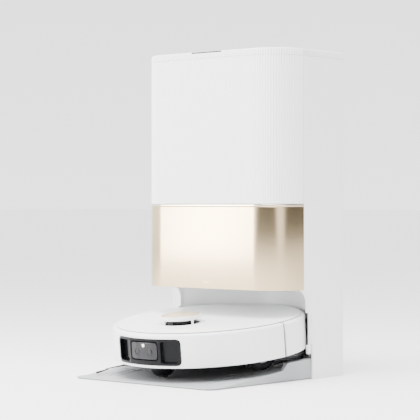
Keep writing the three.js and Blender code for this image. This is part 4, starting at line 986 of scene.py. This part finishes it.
class VACUUM_OT_turret(Piece, bpy.types.Operator):
    """Lidar turret"""

    bl_idname = "vacuum.turret"
    bl_label = "Lidar turret"

    def execute(self, context):
        base = [(33, 75, 0.4), (39, 75, 0.4), (39, 84, 0.4), (42, 87, 0.4)]
        base += [(42, 89.4, 1.0), (38, 89.6, 0.4), (33, 89.6, 0.3)]
        foot = spin("turret_base", soften(base, 5), white_abs(), ROBOT, TURRET)
        settle(foot, "robot", "white_plastic", "lidar_housing")
        rim = [(0, 97.2, 0), (36.2, 97.2, 0.8), (37, 104.4, 1.6)]
        rim += [(34.9, 104.4, 0.3), (34.6, 103.4, 0.2), (0, 103.4, 0)]
        cap = spin("turret_rim", soften(rim, 5), white_abs(), ROBOT, TURRET)
        settle(cap, "robot", "white_plastic")
        disc = [(0, 103.7, 0), (34.4, 103.7, 0.2), (34.4, 105.2, 0.7), (30, 105.3, 2), (0, 105.3, 0)]
        gold = spin("turret_disc", soften(disc), champagne_spun(), ROBOT, TURRET)
        settle(gold, "robot", "champagne", "lidar_cap")
        stick = [(0, 88.7), (2.3, 88.7), (2.3, 98), (0, 98)]
        for letter, degrees in zip("abcd", POSTS):
            turn = math.radians(degrees)
            place = (TURRET[0] + 34.4 * math.cos(turn), TURRET[1] + 34.4 * math.sin(turn))
            post = spin("turret_post_" + letter, stick, white_abs(), ROBOT, place, 20)
            settle(post, "robot", "white_plastic")
        settle(refined("lidar_head", black_gloss(), 0.8, 3), "lidar", "black_plastic", "lidar_head")
        return {"FINISHED"}


class VACUUM_OT_eye(Piece, bpy.types.Operator):
    """Front sensor surround, its window, lenses and lamp"""

    bl_idname = "vacuum.eye"
    bl_label = "Sensor eye"

    def execute(self, context):
        finish_nodes(
            "robot",
            [
                ("sensor_surround", black_gloss(), "black_plastic", 0.9),
                ("sensor_window", window_pc(), "dark_glass", 1.2),
                ("sensor_lamp", lamp_lens(), "lamp", 0.4),
            ],
        )
        # Camera lenses behind the window, each a ring round a domed glass.
        for name, x, z, radius in (("left", -14, 54, 6.2), ("right", 14, 54, 6.2), ("middle", 0, 50, 3.4)):
            aim = ROBOT @ Matrix.Translation((x, -176.4, z)) @ Matrix.Rotation(math.pi / 2, 4, "X")
            inner = radius - 1.1
            profile = [(inner, -1.2, 0.2), (radius, -1.2, 0.2), (radius, 0.5, 0.3), (inner, 0.5, 0.3)]
            collar = spin("lens_collar_" + name, soften(profile), black_abs(), aim, (0, 0), 40)
            settle(collar, "robot", "black_plastic")
            dome = [(radius * 0.8 * math.sin(t / 10), 0.35 * math.cos(t / 10)) for t in range(1, 15)]
            dome = [(0, 0.35), *dome, (radius * 0.85, -1.0), (0, -1.0)]
            glass = spin("lens_glass_" + name, dome, window_pc(), aim, (0, 0), 40)
            settle(glass, "robot", "dark_glass")
        return {"FINISHED"}


class VACUUM_OT_running_gear(Piece, bpy.types.Operator):
    """Drive wheels, arms and caster"""

    bl_idname = "vacuum.running_gear"
    bl_label = "Running gear"

    def execute(self, context):
        tree = ring_tree()
        lug = slab("lug_seed", oblong(-5, 5, -1.3, 1.3, 0.5), -1, 1.1, tyre_rubber(), DOCK, 0.3)
        lug.data.transform(Matrix.Rotation(math.pi / 2, 4, "Y"))
        half_tread = [(24.3, -11, 0.6), (32.6, -11, 1.6), (34.9, -8, 2)]
        tread = soften(half_tread + [(r, -x, reach) for r, x, reach in reversed(half_tread)])
        for side, sign in SIDES:
            finish_nodes("suspension_" + side, [("wheel_arm_" + side, black_abs(), "black_plastic", 0.8)])
            finish_nodes("wheel_" + side, [("wheel_hub_" + side, grey_abs(), "grey_plastic", 1.0)])
            frame = lying(ROBOT, sign * WHEEL_X, 0, WHEEL_RADIUS)
            tyre = spin("tyre_" + side, tread, tyre_rubber(), frame, (0, 0), 72)
            settle(tyre, "wheel_" + side, "tyre_rubber", "drive_tyre_" + side)
            for row, shift in (("a", -5.2), ("b", 5.2)):
                values = {"Piece": lug, "Count": sizes().lug_count, "Radius": 0.0349}
                values["Material"] = tyre_rubber()
                lugs = grown("tyre_lugs_" + side + "_" + row, tree, values)
                turn = Matrix.Rotation(math.pi / sizes().lug_count * (row == "b"), 4, "Z")
                lugs.data.transform(frame @ Matrix.Translation((0, 0, shift)) @ turn @ METRES)
                smooth(lugs.data)
                settle(lugs, "wheel_" + side, "tyre_rubber")
        remove(lug)
        finish_nodes("caster", [("caster_fork", black_gloss(), "black_plastic", 0.4)])
        finish_nodes("caster_roller", [("caster_wheel", rubber(), "rubber", 0.9)])
        return {"FINISHED"}


class VACUUM_OT_brushes(Piece, bpy.types.Operator):
    """Side brush, main brush and its guard"""

    bl_idname = "vacuum.brushes"
    bl_label = "Brushes"

    def execute(self, context):
        self.side_brush()
        self.main_brush()
        finish_nodes("robot", [("brush_guard", black_abs(), "black_plastic", 0.6)])
        return {"FINISHED"}

    def side_brush(self):
        hub = [(0, 10.5, 0), (11, 10.5, 1), (15, 12.2, 1), (15, 15.5, 0.5)]
        hub += [(4, 15.5, 0.4), (3.4, 26, 0.4), (0, 26, 0)]
        boss = spin("side_brush_hub", soften(hub), black_abs(), ROBOT, (BRUSH_X, BRUSH_Y), 48)
        settle(boss, "brush_side", "bristle", "side_brush")
        profile = [(0, 0), (0.32, 0), (0.16, 24), (0, 24)]
        strand = spin("strand_seed", profile, bristle_nylon(), DOCK, (0, 0), 5)
        tree = tuft_tree()
        for index, degrees in enumerate((-121, 59)):
            arm = self.arm(degrees, "side_brush_arm_" + "ab"[index])
            settle(arm, "brush_side", "bristle")
            values = {"Piece": strand, "Count": sizes().bristle_count, "Length": 0.004, "Lean": 0.07}
            values |= {"Seed": 4 + index, "Material": bristle_nylon()}
            tuft = grown("side_brush_tuft_" + "ab"[index], tree, values)
            turn = Matrix.Rotation(math.radians(degrees), 4, "Z") @ Matrix.Translation((44, -8.6, 7.0))
            lay = Matrix.Rotation(math.radians(16), 4, "Z") @ Matrix.Rotation(math.radians(97), 4, "Y")
            lay = lay @ Matrix.Rotation(math.pi / 2, 4, "Z")
            place = Matrix.Translation((BRUSH_X, BRUSH_Y, 0)) @ turn @ lay
            tuft.data.transform(ROBOT @ place @ METRES)
            smooth(tuft.data)
            settle(tuft, "brush_side", "bristle")
        remove(strand)

    def arm(self, degrees, name):
        """A swept rubber arm, flat and tapering, from the hub to its tuft."""
        rings = []
        turn = math.radians(degrees)
        for i in range(13):
            t = i / 12
            along = 11 + 36 * t
            bend = -9 * math.sin(t * math.pi / 2)
            wide = 4.2 - 2.2 * t
            z = 12.4 - 5.2 * t
            thick = 1.2 - 0.2 * t
            ring = []
            for k in range(12):
                a = 2 * math.pi * k / 12
                w = bend + wide * math.cos(a)
                x = BRUSH_X + along * math.cos(turn) - w * math.sin(turn)
                y = BRUSH_Y + along * math.sin(turn) + w * math.cos(turn)
                ring.append((x, y, z + thick * math.sin(a)))
            rings.append(ring)
        return loft(name, rings, black_abs(), ROBOT)

    def main_brush(self):
        frame = lying(ROBOT, 0, ROLLER_Y, ROLLER_Z)
        profile = soften([(0, -84, 0), (12.5, -84, 1), (12.5, 84, 1), (0, 84, 0)])
        core = spin("main_brush_core", profile, rubber(), frame, (0, 0), 40)
        settle(core, "brush_main", "rubber", "main_brush")
        half_blade = [(11, -1.9), (15, -1.3), (19.6, -0.9)]
        blade = half_blade + [(19.9, 0)] + [(r, -across) for r, across in reversed(half_blade)]
        for index in range(6):
            rings = []
            for i in range(49):
                u = -82 + 164 * i / 48
                twist = index * math.pi / 3 + 0.55 * (1 - abs(u) / 82)
                ring = []
                c, s = math.cos(twist), math.sin(twist)
                for radius, across in blade:
                    ring.append((radius * c - across * s, radius * s + across * c, u))
                rings.append(ring)
            fin = loft("main_brush_fin_" + "abcdef"[index], rings, tyre_rubber(), frame)
            settle(fin, "brush_main", "rubber")


def swollen(name, solid, material, voxel, cap, pressure=4.0):
    """Fills a closed shape with air as cloth, no point moving more than cap metres."""
    piece = solid
    remesh = piece.modifiers.new("voxels", "REMESH")
    remesh.mode = "VOXEL"
    remesh.voxel_size = voxel
    bake(piece)
    start = [v.co.copy() for v in piece.data.vertices]
    puff = piece.modifiers.new("puff", "CLOTH")
    puff.settings.use_pressure = True
    puff.settings.uniform_pressure_force = pressure
    puff.settings.effector_weights.gravity = 0
    puff.point_cache.frame_start = 1
    puff.point_cache.frame_end = 14
    for number in range(1, 15):
        bpy.context.scene.frame_set(number)
    bake(piece)
    bpy.context.scene.frame_set(1)
    for vertex, origin in zip(piece.data.vertices, start):
        move = vertex.co - origin
        if move.length > cap:
            vertex.co = origin + move.normalized() * cap
    piece.data.materials.clear()
    piece.data.materials.append(material)
    smooth(piece.data, 60)
    piece.name = name
    return piece


class VACUUM_OT_mops(Piece, bpy.types.Operator):
    """Mop carriage, turning discs and looped pads"""

    bl_idname = "vacuum.mops"
    bl_label = "Mops"

    def execute(self, context):
        finish_nodes("mop_carriage", [("mop_lift_bracket", black_abs(), "black_plastic", 0.8)])
        for side in ("left", "right"):
            finish_nodes("mop_" + side, [("mop_disc_" + side, grey_abs(), "grey_plastic", 0.6)])
            pivot = JOINTS["mop_" + side + "_spin"]["pos_m"]
            local = ROBOT.inverted() @ Vector(pivot)
            profile = soften([(10.5, 4.4, 1), (60.4, 4.4, 1.8), (60.4, 8.6, 1.8), (10.5, 8.6, 1)], 5)
            core = spin("mop_core_" + side, profile, microfibre(), ROBOT, (local.x, local.y), 72)
            pad = swollen("mop_pad_" + side + "_cloth", core, microfibre(), 0.0024, 0.0011)
            settle(pad, "mop_" + side, "mop_cloth", "mop_pad_" + side)
        return {"FINISHED"}


class VACUUM_OT_bag(Piece, bpy.types.Operator):
    """Dust bag of the dock"""

    bl_idname = "vacuum.bag"
    bl_label = "Dust bag"

    def execute(self, context):
        low, high = (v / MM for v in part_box("dust_bag"))
        outline = oblong(low.x + 7, high.x - 7, low.y + 7, high.y - 7, 16, 6)
        core = slab("bag_core", outline, low.z + 6, high.z - 5, fleece(), DOCK, 5)
        bag = swollen("dust_bag_fleece", core, fleece(), 0.0045, 0.006, 3.0)
        settle(bag, "dock", "bag_paper", "dust_bag")
        return {"FINISHED"}


class VACUUM_OT_chassis(Piece, bpy.types.Operator):
    """Chassis, its screws, battery, fan and dust box"""

    bl_idname = "vacuum.chassis"
    bl_label = "Chassis"

    def execute(self, context):
        finish_nodes(
            "robot",
            [
                ("robot_chassis", black_abs(), "black_plastic", 0.6),
                ("battery_pack", battery_wrap(), "battery_wrap", 2.0),
                ("robot_dust_box", smoke_tank(), "smoke_tank", 1.0),
                ("robot_fan", black_abs(), "black_plastic", 0.8),
            ],
        )
        profile = soften([(0, -0.8, 0), (3.1, -0.8, 0.2), (3.1, 0.2, 0.8), (0, 0.9, 0)])
        head = spin("screw_seed", profile, steel(), DOCK, (0, 0), 16)
        slot = slab("slot_cut", rounded_box(2.2, -0.45, 0.45, 0.1), 0.0, 2, steel())
        cross = slab("cross_cut", rounded_box(0.45, -2.2, 2.2, 0.1), 0.0, 2, steel())
        cut(head, slot, cross)
        values = {"Piece": head, "Count": 7, "Radius": 0.142, "Material": steel()}
        screws = grown("chassis_screws", ring_tree(), values)
        flip = Matrix.Rotation(math.pi, 4, "X") @ Matrix.Rotation(math.radians(13), 4, "Z")
        screws.data.transform(ROBOT @ Matrix.Translation((0, 0, 20.9)) @ flip @ METRES)
        smooth(screws.data)
        settle(screws, "robot", "steel")
        remove(head)
        return {"FINISHED"}


class VACUUM_OT_stage(Piece, bpy.types.Operator):
    """Floor, light and camera"""

    bl_idname = "vacuum.stage"
    bl_label = "Stage"

    def execute(self, context):
        scene = context.scene
        colour = list(scene.vacuum_finishes.floor)
        board = finish("Board matt white", colour, 0.7, 3.0, 0.00001, None, 0.05, 0.01)
        far = 60000
        corners = [(x, y, -0.2) for x, y in oblong(-far, far, -far, far)]
        floor = make("floor", corners, [(0, 1, 2, 3)], board)
        self.surroundings(scene)
        self.light("softbox_left", (-1.25, -1.45, 0.7), (-0.05, 0, 0.3), 0.45, 1.3, 48)
        self.light("softbox_top", (0.3, -0.9, 2.4), (0.2, -0.5, 0.0), 1.6, 1.6, 190)
        camera = bpy.data.cameras.new("camera")
        camera.sensor_width = 36
        camera.lens = 36 * 1734.9 / 420
        camera.shift_y = (202.99 - 210) / 420
        camera.clip_end = 200
        rig = bpy.data.objects.new("camera", camera)
        rig.location = (2.0870, -2.3739, 0.3154)
        rig.rotation_euler = (math.pi / 2, 0, math.radians(41.357))
        scene.collection.objects.link(rig)
        scene.camera = rig
        return {"FINISHED"}

    def surroundings(self, scene):
        """A bright tent with two dark gaps, which draw the corner of the lacquered cover."""
        world = bpy.data.worlds.new("soft studio")
        scene.world = world
        world.use_nodes = True
        tree = world.node_tree
        way = add(tree, "ShaderNodeTexCoord").outputs["Generated"]
        lit = 3.1
        for degrees, reach, dark in ((12, 44, 0.0), (115, 48, 0.0)):
            turn = math.radians(degrees)
            toward = add(tree, "ShaderNodeVectorMath", {"operation": "DOT_PRODUCT"}, {0: way})
            toward.inputs[1].default_value = (math.sin(turn), -math.cos(turn), 0)
            fade = {"Value": toward.outputs["Value"], "To Min": 1.0, "To Max": dark}
            fade["From Min"] = math.cos(math.radians(reach))
            fade["From Max"] = math.cos(math.radians(reach * 0.7))
            share = add(tree, "ShaderNodeMapRange", {"interpolation_type": "SMOOTHSTEP"}, fade)
            both = {0: lit, 1: share.outputs["Result"]}
            lit = add(tree, "ShaderNodeMath", {"operation": "MULTIPLY"}, both).outputs[0]
        # What the camera sees behind the object fades from the horizon upwards.
        height = add(tree, "ShaderNodeSeparateXYZ", None, {0: way}).outputs["Z"]
        seen = {"Value": height, "From Min": 0.0, "From Max": 0.12, "To Min": 2.7, "To Max": 2.4}
        seen = add(tree, "ShaderNodeMapRange", None, seen).outputs["Result"]
        looking = add(tree, "ShaderNodeLightPath").outputs["Is Camera Ray"]
        level = add(tree, "ShaderNodeMix", {"data_type": "FLOAT"}, {0: looking, 2: lit, 3: seen})
        back = tree.nodes["Background"]
        back.inputs["Color"].default_value = (1, 1, 1, 1)
        tree.links.new(level.outputs[0], back.inputs["Strength"])

    def light(self, name, place, target, width, height, power):
        lamp = bpy.data.lights.new(name, "AREA")
        lamp.shape = "RECTANGLE"
        lamp.size = width
        lamp.size_y = height
        lamp.energy = power
        rig = bpy.data.objects.new(name, lamp)
        rig.location = place
        rig.rotation_euler = (Vector(target) - Vector(place)).to_track_quat("-Z", "Y").to_euler()
        bpy.context.scene.collection.objects.link(rig)


PIECES = (
    VACUUM_OT_stage,
    VACUUM_OT_flutes,
    VACUUM_OT_lid,
    VACUUM_OT_door,
    VACUUM_OT_housing,
    VACUUM_OT_machinery,
    VACUUM_OT_contacts,
    VACUUM_OT_treads,
    VACUUM_OT_shells,
    VACUUM_OT_cover,
    VACUUM_OT_turret,
    VACUUM_OT_eye,
    VACUUM_OT_running_gear,
    VACUUM_OT_brushes,
    VACUUM_OT_mops,
    VACUUM_OT_bag,
    VACUUM_OT_chassis,
)


class VACUUM_PT_pieces(bpy.types.Panel):
    """Sidebar panel with the sizes, the colours and every piece"""

    bl_idname = "VACUUM_PT_pieces"
    bl_label = "Robot vacuum and dock"
    bl_space_type = "VIEW_3D"
    bl_region_type = "UI"
    bl_category = "Vacuum"

    def draw(self, context):
        for group in (context.scene.vacuum_sizes, context.scene.vacuum_finishes):
            box = self.layout.box()
            for name in group.__annotations__:
                box.prop(group, name)
        for piece in PIECES:
            self.layout.operator(piece.bl_idname)


CLASSES = (VacuumSizes, VacuumFinishes, *PIECES, VACUUM_PT_pieces)


def register():
    for cls in CLASSES:
        bpy.utils.register_class(cls)
    bpy.types.Scene.vacuum_sizes = PointerProperty(type=VacuumSizes)
    bpy.types.Scene.vacuum_finishes = PointerProperty(type=VacuumFinishes)


def unregister():
    del bpy.types.Scene.vacuum_finishes
    del bpy.types.Scene.vacuum_sizes
    for cls in reversed(CLASSES):
        bpy.utils.unregister_class(cls)


def main():
    register()
    for piece in PIECES:
        group, name = piece.bl_idname.split(".")
        getattr(getattr(bpy.ops, group), name)()


if __name__ == "__main__":
    main()
